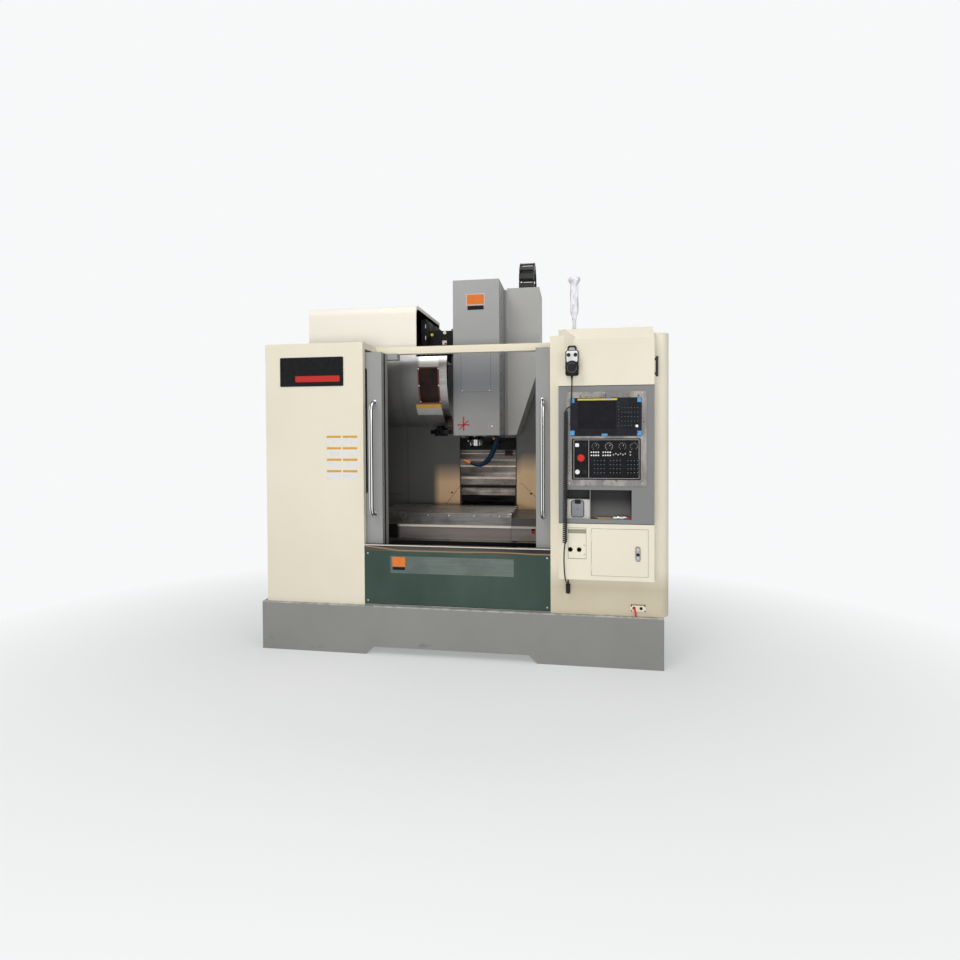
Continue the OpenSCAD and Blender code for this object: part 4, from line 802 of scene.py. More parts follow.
def key_shape(tree, given):
    """A key cap: a base block with two smaller crowns on it."""
    blocks = []
    for share, lift in ((1.0, 0.5), (0.84, 0.85), (0.70, 1.0)):
        shares = (("X", "Width", share), ("Y", "Length", share), ("Z", "Height", 2 * lift))
        sizes = {axis: scaled(tree, given[name], by) for axis, name, by in shares}
        size = add_node(tree, "ShaderNodeCombineXYZ", sizes)["Vector"]
        blocks.append(add_node(tree, "GeometryNodeMeshCube", {"Size": size})["Mesh"])
    return joined(tree, blocks)


SCREWS = repeats_tree("screw_heads", screw_shape, ("Radius", "Height"))
KEYS = repeats_tree("key_caps", key_shape, ("Width", "Length", "Height"))
FACING = {
    "front": (math.pi / 2, 0.0, 0.0), "back": (-math.pi / 2, 0.0, 0.0), "right": (0.0, math.pi / 2, 0.0),
    "left": (0.0, -math.pi / 2, 0.0), "up": (0.0, 0.0, 0.0),
}


def repeated(name, tree, points, facing, body, finish, slot, **sizes):
    """The tree's shape on every point, made a plain mesh that rides on the body."""
    mesh = bpy.data.meshes.new(name)
    mesh.from_pydata([tuple(c * MM for c in p) for p in points], [], [])
    seed = shown(bpy.data.objects.new(name, mesh))
    maker = seed.modifiers.new("maker", "NODES")
    maker.node_group = tree
    named = {s.name: s.identifier for s in tree.interface.items_tree if s.in_out == "INPUT"}
    for size, value in sizes.items():
        maker[named[size]] = value * MM
    maker[named["Turn"]] = FACING[facing]
    maker[named["Finish"]] = finish.material
    bpy.context.view_layer.update()
    graph = bpy.context.evaluated_depsgraph_get()
    real = bpy.data.meshes.new_from_object(seed.evaluated_get(graph))
    seed.modifiers.clear()
    seed.data = real
    real.name = name
    real.set_sharp_from_angle(angle=math.radians(35))
    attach(seed, body)
    return seed


def screws(name, points, facing="front", body="frame", radius=5.0, height=2.2, finish=SHAFT, slot=None):
    return repeated(name, SCREWS, points, facing, body, finish, slot, Radius=radius, Height=height)


def keys(name, points, width, length, height, finish=KEY_PLASTIC, slot=None):
    return repeated(
        name, KEYS, points, "front", "frame", finish, slot, Width=width, Length=length, Height=height)


# Handset cord

CORD_R = 3.7
COIL_MEAN_R = 10.3
COIL_TURNS = 68
LEAD = [
    (705, -1104, 1697), (705, -1104, 1660), (704, -1105, 1620), (703, -1106, 1580), (702, -1107, 1548),
    (698, -1108, 1526), (688, -1109, 1517), (677, -1110, 1512), (672, -1110, 1500),
]
TAIL = [
    (663, -1108, 735), (661, -1108, 715), (659, -1107, 690), (658, -1107, 650), (659, -1106, 600),
    (662, -1103, 556), (666, -1094, 526), (671, -1079, 508), (676, -1060, 500), (679, -1042, 495),
    (680, -1032, 484),
]


def coil_line():
    """The curly middle of the cord, opening from the lead's line and closing to the tail's."""
    top, bottom = Vector(LEAD[-1]), Vector(TAIL[0])
    way = (bottom - top).normalized()
    side = way.orthogonal().normalized()
    other = way.cross(side)
    points = []
    steps = COIL_TURNS * 14
    for i in range(1, steps):
        t = i / steps
        turn = 2 * math.pi * COIL_TURNS * t
        r = COIL_MEAN_R * min(1.0, t * COIL_TURNS / 0.8, (1 - t) * COIL_TURNS / 0.8)
        points.append(top.lerp(bottom, t) + (side * math.cos(turn) + other * math.sin(turn)) * r)
    return points


def handset_cord():
    line = [p * MM for p in smooth_line(LEAD, 4) + coil_line() + smooth_line(TAIL, 4)]
    curve = bpy.data.curves.new("handset_cord", "CURVE")
    curve.dimensions = "3D"
    curve.bevel_depth = CORD_R * MM
    curve.bevel_resolution = 2
    curve.use_fill_caps = True
    spline = curve.splines.new("POLY")
    spline.points.add(len(line) - 1)
    for point, p in zip(spline.points, line):
        point.co = (*p, 1.0)
    obj = shown(bpy.data.objects.new("handset_cord", curve))
    curve.materials.append(CORD.material)
    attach(obj, "frame")
    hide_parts("cord_lead", "cord_coil", "cord_tail")


def strain_reliefs():
    """Ribbed boots where the cord leaves the handset and enters its gland."""
    for name, at, sign in (("handset_boot", (705, -1104, 1697), -1), ("gland_nut", (680, -1032, 484), 1)):
        profile = [(0, 0), (0, 7.5)]
        for i in range(5):
            r = 7.2 - 0.7 * i
            profile += [(sign * (5 * i + 1.0), r), (sign * (5 * i + 3.4), r), (sign * (5 * i + 4.0), r - 1.1)]
        profile += [(sign * 27, 3.6), (sign * 27, 0)]
        rods(name, [(profile, at)], BLACK_PLASTIC, "Z", 24)


handset_cord()
strain_reliefs()

# Film bag on the signal lamp

LAMP_AT = (719, -900)


def film_radius(z, turn):
    """The bag hugs the tube below, lies on the lamp in shallow folds and puffs out on top."""
    shut = min(1.0, max(0.0, (z - 2056) / 50))
    neck = 12.9 + 11.3 * shut * shut * (3 - 2 * shut)
    above = max(0.0, (z - 2270) / 34)
    puff = 12.0 * math.sin(0.8 * math.pi * above) ** 0.7 if above > 0 else 0.0
    depth = 0.8 + 0.5 * shut + 1.2 * above
    folds = math.sin(7 * turn + 1.7 * math.sin(z / 41)) + 0.6 * math.sin(11 * turn - z / 19)
    folds += 0.3 * math.sin(z / 3.1)
    return neck + puff + depth * folds / 1.9


def lamp_film():
    """Milky film bag left over the signal lamp, gathered on its tube."""
    bm = bmesh.new()
    x, y = LAMP_AT
    heights = [2050 + 254 * i / 64 for i in range(65)]
    band(bm, [
        [(x + film_radius(z, a) * math.cos(a), y + film_radius(z, a) * math.sin(a), z) for a in turns(72)]
        for z in heights
    ], "open")
    film = piece("lamp_film", bm, packing_film(), smooth=0)
    film.data.shade_smooth()
    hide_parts("lamp_wrap")


# Bare plates and labels


def left_panel_plates():
    """Bare black plate with a red field, and eight blank labels in two columns."""
    plate = ((-1133, -703), (1669, 1859))
    card("front_plate", *plate, -1001.6, 2.0, 12, PLATE_BLACK)
    frame_card("front_plate_edge", *plate, 3, -1002.2, 0.8, 12, INK_WHITE, slot="brushed_plate")
    card("front_plate_field", (-1027, -731), (1700, 1738), -1002.2, 0.8, 5, INK_RED)
    for row in range(4):
        for column in range(2):
            x0 = -822 + 106 * column
            z1 = 1362 - 72 * row
            name = f"label_{row}_{column}"
            card(name, (x0, x0 + 97), (z1 - 60, z1), -1000.5, 0.7, 1.5, INK_WHITE, bevel=0)
            card(name + "_head", (x0 + 1, x0 + 96), (z1 - 15, z1 - 1), -1000.9, 0.6, 1, INK_AMBER, bevel=0)


def apron_plate():
    """Bare pale plate on the apron, with an orange and a black field left blank, and a pale strip on the
    sill's top edge as a painted highlight.
    """
    card("apron_plate", (-414, 357), (506, 612), -993.4, 1.6, 3, PLATE_STEEL)
    card("apron_plate_orange", (-400, -318), (547, 606), -993.9, 0.7, 2, INK_ORANGE, bevel=0)
    card("apron_plate_black", (-398, -320), (526, 544), -993.9, 0.7, 2, PLATE_BLACK, bevel=0)
    # Pale strip on the sill's top edge: a painted highlight.
    edge = flat_ink("sill_edge_painted_highlight", "bare_sheet", (0.72, 0.66, 0.61), 0.35)
    boxes("sill_edge", [((-579, 576), (-1001.5, -991), (676.5, 681.6))], edge, bevel=1.0)
    boxes("apron_trim", [((-579, 576), (-997, -991), (303.4, 309))], SHEET, bevel=1.0)
    screws("apron_screws", grid((-560, 556), -992.6, (330, 626)), radius=5, height=2)


def head_plates():
    """Blank orange and black plates, the shut service panel and its marks on the head cover."""
    y = -397
    plate = ((-33, 96), (2272, 2350))
    card("head_plate", *plate, y - 1.4, 1.6, 3, INK_ORANGE, "head")
    frame_card("head_plate_edge", *plate, 3, y - 1.9, 0.8, 3, INK_WHITE, "head")
    card("head_plate_low", (-25, 90), (2239, 2267), y - 1.4, 1.6, 2, PLATE_BLACK, "head")
    frame_card("head_hatch_seam", (-75, 138), (1662, 1939), 1.3, y - 0.5, 0.7, 4, RUBBER, "head")
    screws("head_hatch_screws", grid((-67, 130), y - 0.8, (1671, 1931)), "front", "head", 4.2)
    ink = (y - 0.5, y + 0.2)
    bars = [((-101, -15), ink, (1425, 1435)), ((-63, -52), ink, (1389, 1487))]
    boxes("head_centre_mark", bars, INK_RED, body="head")
    slant = [(-24, 1463), (-21, 1460), (-90, 1395), (-93, 1398)]
    outlined("head_centre_line", slant, y - 0.4, 0.5, RUBBER, body="head")
    frame_card("head_square_mark", (121, 172), (1392, 1446), 2.2, y - 0.4, 0.5, 9, INK_SILVER, "head")
    screws("head_square_screw", [(146, y - 0.6, 1420)], "front", "head", 6.5, 2.4)
    strip = [(199.4, -285, z) for z in (1923, 1676, 1619, 1398, 1500, 1800, 2060, 2200, 2340)]
    screws("head_strip_screws", strip, "right", "head", 6.5, 2.4, BLACK_PLASTIC)
    # Grey sheet across the gap between the head's side and its side cover, put there to show soft shade in
    # place of a black gap.
    boxes("head_gap_shade_filler", [((199.2, 218.6), (-100, -80), (1360, 2440))], GREY_COAT, body="head", bevel=2)


DRUM_Y = -200
DRUM_Z = 1795


def on_drum(x, r, angle):
    """A point round the magazine's axis, at an angle above the front, in degrees."""
    a = math.radians(angle)
    return (x, DRUM_Y - r * math.cos(a), DRUM_Z + r * math.sin(a))


def drum_strips(name, rows, finish, slot=None):
    """One piece of strips on the drum, each given by X, angles, inner radius and thickness."""
    bm = bmesh.new()
    for x, (start, end), r, thick in rows:
        steps = max(2, int((end - start) / 2))
        corners = ((x[0], r), (x[1], r), (x[1], r + thick), (x[0], r + thick))
        angles = [start + (end - start) * i / steps for i in range(steps + 1)]
        band(bm, [[on_drum(*corner, a) for corner in corners] for a in angles], "capped")
    piece(name, bm, finish, slot=slot)


def magazine_marks():
    """Screwed border of the brown window, its blank label and the cover's bright end rim."""
    r = 379.1
    sides = [((-342, -333), (-34.4, 4.7)), ((-202, -193), (-34.4, 4.7))]
    sides += [((-333, -202), (-34.4, -33.0)), ((-333, -202), (3.3, 4.7))]
    edge = flat_ink("red_brown_border", "amber_acrylic", (0.16, 0.035, 0.02), 0.3)
    drum_strips("window_border", [(x, angles, r, 0.8) for x, angles in sides], edge)
    bm = bmesh.new()
    for x in (-337, -198):
        for a in (-32.5, -14.8, 2.8):
            turned(bm, [(0, 0), (0, 6), (2, 6), (3.4, 4), (3.4, 0)], (0, 0, 0), "Y", 16)
            turn = Matrix.Rotation(math.radians(-a), 4, "X") @ Matrix.Rotation(math.pi, 4, "Z")
            at = Vector(on_drum(x, r + 0.6, a)) * MM
            for v in [v for v in bm.verts if not v.tag]:
                v.co = turn @ v.co + at
                v.tag = True
    piece("window_screws", bm, SHAFT)
    drum_strips("drum_label", [((-377, -186), (-51, -39), 375.3, 0.6)], INK_SILVER, "cream_paint")
    drum_strips("drum_label_head", [((-376, -187), (-41.2, -36.2), 375.4, 0.7)], INK_AMBER)
    drum_strips("drum_rim_band", [((-196, -141), (-195, 16), 375.2, 1.0)], SHEET)


HOOD_SKIN = 4.6


def hood_line(side, above, low):
    """The hood's outline seen from its open side, as (y, z) points drawn in at its sides and its top."""
    half, top, r = 360 - side, 2259 - above, 56 - 0.8 * side
    arc = [math.radians(15 * i) for i in range(7)]
    front = [(DRUM_Y - half + r - r * math.sin(a), top - r + r * math.cos(a)) for a in arc]
    return [(DRUM_Y + half, low), (DRUM_Y + half, top)] + front + [(DRUM_Y - half, low)]


def hood_details():
    """Folded edge round the hood's open side, its dark lining, and caps on the changer's black drive box."""
    outer, inner = (0.5, 0.5, 1944), (11, 24, 1955)
    edge = ((outer, -357), (inner, -357), (inner, -355), (outer, -355))
    lining = [((skin, skin, 1912), x) for skin, x in (
        (HOOD_SKIN, -1130), (HOOD_SKIN, -358), (HOOD_SKIN + 1, -358), (HOOD_SKIN + 1, -1130))]
    for name, sides, finish in (("hood_folded_edge", edge, HOOD_COAT), ("hood_lining", lining, BLACK)):
        bm = bmesh.new()
        band(bm, [[(x, *p) for p in hood_line(*line)] for line, x in sides])
        piece(name, bm, finish)
    bm = bmesh.new()
    turned(bm, [(0, 0), (0, 12), (-5, 12), (-7, 9), (-7, 0)], (-204, -330, 2096), "Y", 24)
    for z in (2118, 2036):
        box(bm, (-326, -321), (-421.5, -419.5), (z, z + 26))
    piece("drive_box_caps", bm, INK_WHITE)
    card("drive_box_tag", (-222, -190), (2010, 2040), -331, 1.2, 2, INK_WHITE, bevel=0)
    card("drive_box_tag_red", (-206, -191), (2011, 2024), -331.4, 0.6, 1, INK_RED, bevel=0)
    dots = grid((-282, -238, -166), -330.6, (1975, 2062))
    screws("drive_box_screws", dots, radius=5, height=3, finish=BLACK_PLASTIC)
    mark = [(0, 0), (0, 11), (-1.2, 10), (-1.2, 0)]
    rods("drive_box_mark", [(mark, (-299, -330, 2084))], YELLOW_PLASTIC, "Y", 20)


# Console

DISPLAY_X0 = 695
DISPLAY_Z0 = 1353


def on_display(x, z):
    """Limits measured from the display unit's lower left corner."""
    return tuple(DISPLAY_X0 + c for c in x), tuple(DISPLAY_Z0 + c for c in z)


def display_details():
    """Screen glass, soft keys, letter keys, corner tapes and a strip of bare bench tape."""
    x0, z0 = DISPLAY_X0, DISPLAY_Z0
    y = -1097
    card("screen_glass", *on_display((40, 256), (39, 200)), -1093.4, 1.0, 4, SCREEN)
    frame_card("screen_lip", *on_display((38, 258), (37, 202)), 4, y - 1.5, 2, 5, BLACK_PLASTIC)
    card("screen_note", *on_display((42, 262), (203, 213)), y - 0.6, 0.8, 1, INK_YELLOW, bevel=0)
    keys("soft_keys", [(x0 + 48 + 22 * i, y - 3.2, z0 + 21) for i in range(10)], 15, 11, 2)
    keys("side_keys", [(x0 + 270, y - 0.2, z0 + 56 + 18.5 * i) for i in range(8)], 9, 7, 2.4)
    rows = [25 * j for j in range(5)]
    letters = [(x0 + 291 + 17 * i, y - 3.2, z0 + 55 + up) for i in range(6) for up in rows]
    keys("letter_keys", letters, 12, 15, 1.8)
    marks = [(x0 + 288 + 17 * i, y - 5.2, z0 + 59 + up) for i in range(6) for up in rows]
    marks += [(x0 + 270, y - 2.8, z0 + 57 + 18.5 * i) for i in range(8)]
    keys("key_marks", marks, 3.4, 1.6, 0.25, INK_SILVER, "console_grey_plastic")
    card("white_key", *on_display((363, 377), (49, 63)), y - 6.2, 3, 3, WHITE_PLASTIC)
    for name, x, z in (
        ("low_left", (-1, 24), (4, 31)), ("low_right", (371, 396), (2, 29)),
        ("top_left", (2, 24), (190, 215)), ("top_right", (373, 395), (190, 215)),
        ("low_middle", (176, 209), (1, 14)), ("top_middle", (200, 226), (209, 216)),
    ):
        card("tape_" + name, *on_display(x, z), y - 0.7, 0.8, 1, INK_BLUE, bevel=0)
    ribs = [((x, x + 3), (y - 1, y + 1), (z0 + 40, z0 + 180)) for x in (x0 + 2, x0 + 392)]
    boxes("display_side_ribs", ribs, BLACK_PLASTIC, bevel=0.6)
    rim = ((690, 1598), (886, 1598), (1096, 1598), (1096, 1345), (1096, 1085), (886, 1084), (690, 1084))
    screws("bezel_screws", [(x, -1087.4, z) for x, z in rim], radius=3.6, height=2)


DIAL_Z = 1294


def dials(y):
    """Ticks and seats of the four selectors, and the white lines on the three that turn."""
    ticks = bmesh.new()
    seats = []
    for x, wide in ((837, 1.0), (912, 2.4), (987, 1.0), (1050, 1.0)):
        for i in range(11):
            angle = math.radians(-50 + 28 * i)
            ray_card(ticks, (x, DIAL_Z), angle, 17.5, 20.5 + wide, 0.7 + 0.5 * wide, y - 0.35, 0.5)
        seats.append(([(0, 0), (0, 16), (-2, 15.5), (-2, 0)], (x, y, DIAL_Z)))
    piece("dial_ticks", ticks, INK_SILVER, smooth=0)
    rods("dial_seats", seats, BLACK_PLASTIC)
    for name, x in (("mode_knob", 837), ("feed_knob", 912), ("rapid_knob", 987)):
        mark = bmesh.new()
        ray_card(mark, (x, DIAL_Z), math.radians(60), 3, 12, 0.9, y - 23.9, 0.5)
        piece(name + "_line", mark, INK_WHITE, name, smooth=0)


def operator_panel_details():
    """Key banks, lit keys, knob dials, the stop button's collar and the white outline."""
    y = -1091
    frame_card("panel_outline", (714, 1079), (1111, 1333), 2.4, y - 0.4, 0.6, 3, INK_SILVER)
    boxes("panel_divider", [((798, 800.4), (y - 0.4, y + 0.2), (1112, 1332))], INK_SILVER)
    spots = [(bank + 18 * i, 23 * j) for bank in (831.5, 919.5, 1015.5) for i in range(4) for j in range(4)]
    keys("bank_keys", [(x, y - 4.6, 1141.5 + up) for x, up in spots], 13, 16, 1.6)
    lights = [(x, y - 6.6, 1146 + up) for x, up in spots]
    keys("bank_lights", lights, 3.2, 2.2, 0.4, INK_SILVER, "console_grey_plastic")
    for i, x in enumerate((820, 907, 1003)):
        limits = ((x, x + 78), (1127, 1228))
        frame_card(f"bank_frame_{i}", *limits, 1.4, y - 0.3, 0.5, 2, KEY_PLASTIC, slot="console_grey_plastic")
    lamps = grid([814 + 13 * i + (14 if i > 3 else 0) for i in range(8)], y - 1.2, (1243, 1261))
    keys("signal_dots", lamps, 7.5, 7.5, 1.2, WHITE_PLASTIC)
    small = [(937 + 13 * i, y - 1.2, 1247 + 6 * (i % 2)) for i in range(6)]
    small += grid((1030,), y - 1.2, (1262, 1246))
    keys("small_keys", small, 7, 8, 1.0, INK_SILVER, "console_grey_plastic")
    dials(y)
    bm = bmesh.new()
    ring = [(-8.2, 12.4), (-8.2, 26), (-7, 28), (0, 28.5), (0, 12.4)]
    band(bm, [circle((755, y, 1229), "Y", along, r, 40) for along, r in ring])
    piece("stop_collar", bm, BLACK_PLASTIC)
    mushroom = [(0, 0), (0, 15), (-5, 19.5), (-13, 20.5), (-17, 18), (-19, 12), (-19.4, 0)]
    rods("stop_mushroom", [(mushroom, (755, -1109.2, 1229))], RED_PLASTIC, "Y", 40, body="stop_button")
    white = [(0, 0), (0, 13.5), (-6.5, 13), (-8.5, 11), (-8.5, 0)]
    rods("round_white_key", [(white, (735, y, 1148))], WHITE_PLASTIC)
    black = [(0, 0), (0, 12.5), (-5.5, 12), (-7, 10), (-7, 0)]
    rods("round_black_key", [(black, (776, y, 1148))], BLACK_PLASTIC)
    card("square_white_key", (723, 744), (1292, 1312), y - 6, 3, 3, WHITE_PLASTIC, bevel=1)
    card("square_black_key", (766, 789), (1292, 1314), y - 2, 3, 2, KEY_PLASTIC, bevel=1)


def niche_details():
    """Grey flap of the socket box, and small fittings left on the niche floor."""
    flap = round_corners((703, 769), (884, 976), 12)
    outlined("socket_flap", flap, -1043.5, 3.4, GREY_PLASTIC, bevel=1.2)
    bm = bmesh.new()
    outline_card(bm, round_corners((720, 754), (960, 984), 6), -1049.5, 6)
    turned(bm, [(0, 0), (0, 3), (-2, 2.6), (-2, 0)], (736, -1043.5, 928), "Y", 16)
    piece("socket_flap_hinge", bm, BLACK_PLASTIC, bevel=0.8)
    frame_card("socket_gasket", (698, 774), (880, 980), 4, -1041.6, 1.8, 14, RUBBER)
    floor_z = 877.2
    for i, (x, finish, r) in enumerate((
        (948, INK_WHITE, 7), (968, TABLE_IRON, 8), (986, INK_WHITE, 7), (1004, SHAFT, 8), (1024, INK_RED, 6),
    )):
        profile = [(-12, 0), (-12, r - 2), (-9, r), (2, r), (3, r - 2), (12, r - 2), (12, 0)]
        at = (x, -1062 + 3 * (i % 2), floor_z + r)
        rods(f"spare_fitting_{i}", [(profile, at)], finish, "X", 16, slot="bright_steel")
    board = flat_ink("kraft_board", "cream_paint", (0.36, 0.24, 0.12), 0.6)
    strips = [((850, 940), (-1075, -1050), (floor_z, 883)), ((838, 925), (-1071, -1054), (883, 887))]
    boxes("spare_strip", strips, board, bevel=1)


def console_plates():
    """White plate with two cable bushes, a strip of painted shadow at the top of its recess, seams of the
    folded console, and the latch.
    """
    white = flat_ink("bare_white_plate", "cream_paint", (0.93, 0.92, 0.88), 0.4)
    card("bush_plate", (682, 783), (648, 764), -1078.6, 1.6, 2, white)
    # Grey-green strip at the top of the recess: a painted shadow.
    recess_shadow_ink = flat_ink("painted_recess_shadow", "cream_paint", (0.30, 0.30, 0.235), 0.5)
    card("bush_recess_painted_shadow", (682, 783), (794, 817), -1081.2, 0.8, 2, recess_shadow_ink, bevel=0)
    frame_card("bush_plate_shadow_gap", (680.5, 784.5), (646.5, 826), 1.4, -1081.4, 0.7, 2, RUBBER)
    bush = [(0, 0), (0, 13.5), (-2.5, 13), (-2.5, 9), (0.2, 8), (0.2, 0)]
    rods("cable_bushes", [(bush, (x, -1078.6, 699)) for x in (694, 744)], RUBBER)
    screws("bush_plate_screws", grid((773,), -1079, (725, 672)), radius=3.2, height=1.2, finish=TABLE_IRON)
    seams = [((629, 1162), (-1081.5, -1080.5), (z - 1.6, z + 1.6)) for z in (851, 1640)]
    boxes("console_seams", seams, RUBBER, smooth=0)
    frame_card("storage_seam", (812.2, 1129.8), (551.2, 822.8), 1.3, -1081.6, 0.8, 4, RUBBER)
    latch = "storage_latch"
    button = ([(0, 0), (0, 8.5), (-1.6, 8), (-2.2, 5), (-2.2, 0)], (1072, -1089.2, 708))
    key_hole = ([(0, 0), (0, 6.5), (-1.4, 6), (-1.4, 0)], (1072, -1089.2, 660))
    rods("latch_button", [button, key_hole], SHAFT, "Y", 24, body=latch, slot="chromed_tube")
    outlined("latch_slot", round_corners((1063, 1081), (672, 688), 2), -1089.7, 1.0, RUBBER, body=latch)
    frame_card("latch_rim", (1059, 1085), (642, 726), 2, -1089.6, 1, 11, RUBBER, latch)


def handset_details():
    """Pale face plate with two selector knobs, and the finger wheel's knurls and ticks."""
    y = -1126
    card("handset_face", (675, 737), (1772, 1836), y - 1.2, 1.6, 9, PALE_PLASTIC, bevel=0.6)
    card("handset_loop_plate", (690, 722), (1842, 1856), -1098, 4, 5, PALE_PLASTIC, bevel=0.8)
    knob = [(0, 0), (0, 11), (-3, 10.5), (-4, 9.6), (-15, 8.8), (-15.6, 7.6), (-15.6, 0)]
    rods("handset_knobs", [(knob, (x, y, 1813)) for x in (687, 725)], BLACK_PLASTIC, "Y", 24)
    wheel = (706, 1740)
    bm = bmesh.new()
    for a in turns(36):
        b = a + 0.07
        corners = ((36.5, a), (36.5, b), (38.6, b), (38.6, a))
        knurl = [(wheel[0] + r * math.cos(t), wheel[1] + r * math.sin(t)) for r, t in corners]
        outline_card(bm, knurl, -1149.6, 22)
    piece("wheel_knurls", bm, BLACK_PLASTIC, "handset_wheel", smooth=0)
    bm = bmesh.new()
    for a in turns(25):
        ray_card(bm, wheel, a, 24, 29, 0.5, -1144.3, 0.5)
    piece("wheel_ticks", bm, INK_SILVER, "handset_wheel", "console_grey_plastic", smooth=0)


def low_socket():
    """Small socket plate at the lower right with black screws and a red pull tab."""
    card("low_plate", (1037, 1125), (332, 374), -1007.2, 1.4, 2, CREAM_COAT)
    bm = bmesh.new()
    box(bm, (1040, 1122), (-1008.2, -1006.9), (370, 373.5))
    for x in (1058, 1098):
        turned(bm, [(0, 0), (0, 9), (-2.6, 8.6), (-2.6, 0)], (x, -1007.2, 352), "Y", 24)
    piece("low_plate_bushes", bm, RUBBER)
    places = grid((1043, 1119), -1007.6, (337, 366))
    screws("low_plate_screws", places, radius=4, height=2, finish=BLACK_PLASTIC)
    tab = [(1058, -1009, 352), (1060, -1016, 349), (1063, -1019, 338), (1066, -1019, 322), (1066, -1018, 308)]
    tubes("red_pull_tab", [(smooth_line(tab, 5), 5.5)], RED_PLASTIC)


def cord_gland_sleeve():
    profile = [(430, 0), (430, 11), (436, 13.5), (486, 13.5), (488, 12), (488, 0)]
    rods("cord_gland_sleeve", [(profile, (680, -1032, 0))], BLACK_PLASTIC, "Z", 24)


# Doors and work area


def door_trim():
    """Rubber lips and screws on the leading edges, window frames and handle feet."""
    for body, lead, sign in (("door_left", -476, -1), ("door_right", 489, 1)):
        edge = sorted((lead - sign * 0.9, lead + sign * 1.0))
        boxes(body + "_lip", [(edge, (-905, -880), (660, 1880))], RUBBER, body=body, bevel=0.4)
        places = [(lead, -925, z) for z in (827, 1054, 1307, 1553, 1813)]
        facing = "right" if sign < 0 else "left"
        screws(body + "_screws", places, facing, body, 5, 0.7, BLACK_PLASTIC)
        middle = lead + sign * 300
        pane = ((middle - 206, middle + 206), (994, 1786))
        frame_card(body + "_window_frame", *pane, 18, -951.6, 1.8, 14, RUBBER, body)
        foot = [(0, 0), (0, 19), (-5, 18), (-7, 14), (-7, 0)]
        feet = [(foot, (lead + sign * 44, -950, z)) for z in (866, 1565)]
        rods(body + "_handle_feet", feet, CHROME, "Y", 28, body=body)


def coolant_hose():
    """Articulated coolant hose: snapped ball segments that grow thinner, a black tap, an orange nozzle."""
    hose_line = [
        (168, -330, 1352), (168, -336, 1315), (158, -342, 1275), (143, -348, 1236), (124, -352, 1200),
        (101, -355, 1171), (74, -357, 1152), (44, -358, 1145), (12, -356, 1149), (-16, -353, 1160),
    ]
    tip = Vector((-62, -348, 1180))
    segment = 14.5
    line = smooth_line(hose_line, 20)
    walked = [0.0]
    for a, b in zip(line, line[1:]):
        walked.append(walked[-1] + (b - a).length)
    radii = []
    for s in walked:
        share = (s % segment) / segment
        bell = 1.0 if share < 0.58 else 0.74 + 0.12 * math.sin(math.pi * (share - 0.58) / 0.42)
        part = s / walked[-1]
        radii.append((16.4 + 5.0 * math.sin(math.pi * part) - 5.6 * part ** 2) * bell)
    bm = bmesh.new()
    tube(bm, line, radii, 18)
    hose = piece("coolant_hose_segments", bm, BLUE_HOSE, "head")
    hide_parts("coolant_hose")
    bm = bmesh.new()
    along = [line[-1].lerp(tip, s) for s in (0, 0.08, 0.36, 0.42, 0.9, 1.0)]
    tube(bm, along, [9, 11, 10.4, 8.6, 5.6, 5.0], 18)
    box(bm, (146, 157), (-352, -340), (1326, 1338))
    piece("coolant_nozzle", bm, ORANGE_PLASTIC, "head", bevel=0.5)
    tap = [(0, 0), (0, 17), (-3, 19), (-16, 19), (-19, 16), (-19, 0)]
    rods("coolant_tap", [(tap, hose_line[0])], BLACK_PLASTIC, "Z", 24, body="head", bevel=0.5)


def rear_details():
    """Handle and screws of the electrical door, sheet screws, motor fins, the tank's pump and its mouth."""
    door = "electrical_door"
    bm = bmesh.new()
    outline_card(bm, round_corners((297, 323), (1212, 1328), 8), 1142.4, 6)
    turned(bm, [(1148, 0), (1148, 7), (1149.8, 6), (1149.8, 0)], (310, 0, 1232), "Y", 20)
    piece("electrical_door_handle", bm, BLACK_PLASTIC, door, bevel=1.5)
    screws("electrical_door_screws", grid((-360, 362), 1146.6, (580, 1880)), "back", door, 5)
    back = grid((-1200, -820, -440, 440, 830, 1225), 332.4, range(720, 1930, 240))
    screws("rear_sheet_screws", back, "back", radius=5.5)
    for side, x in (("left", -1231.4), ("right", 1256.2)):
        places = [(x, y, z) for y in (-722, -200, 312) for z in range(340, 1930, 260)]
        screws(side + "_sheet_screws", places, side, radius=5.5)
    fins = [((-63, 83), (377, 523), (z, z + 3.5)) for z in range(2268, 2384, 12)]
    fins.append(((-10, 30), (366, 381), (2330, 2372)))
    boxes("lift_motor_fins", fins, BLACK, bevel=0.6)
    bm = bmesh.new()
    profiles = [[(z, 0), (z, 78), (z + 3, 78), (z + 3, 0)] for z in range(512, 684, 13)]
    profiles.append([(688, 0), (688, 79), (722, 79), (729, 72), (729, 0)])
    for profile in profiles:
        turned(bm, profile, (660, 790, 0), "Z", 40)
    box(bm, (728, 764), (762, 818), (590, 652))
    piece("pump_motor_fins", bm, BLACK, bevel=0.8)
    bm = bmesh.new()
    outer, inner = (862, 1078, 552, 768), (872, 1068, 562, 758)
    rims = ((outer, 460.2), (outer, 466), (inner, 466), (inner, 460.2))
    band(bm, [[(x0, y0, z), (x1, y0, z), (x1, y1, z), (x0, y1, z)] for (x0, x1, y0, y1), z in rims])
    piece("tank_mouth_rim", bm, SHEET, bevel=0.8)
    lid = [(x, y, 460.4) for x in (520, 1110) for y in (520, 640, 790, 910)]
    screws("tank_lid_screws", lid, "up", radius=6)


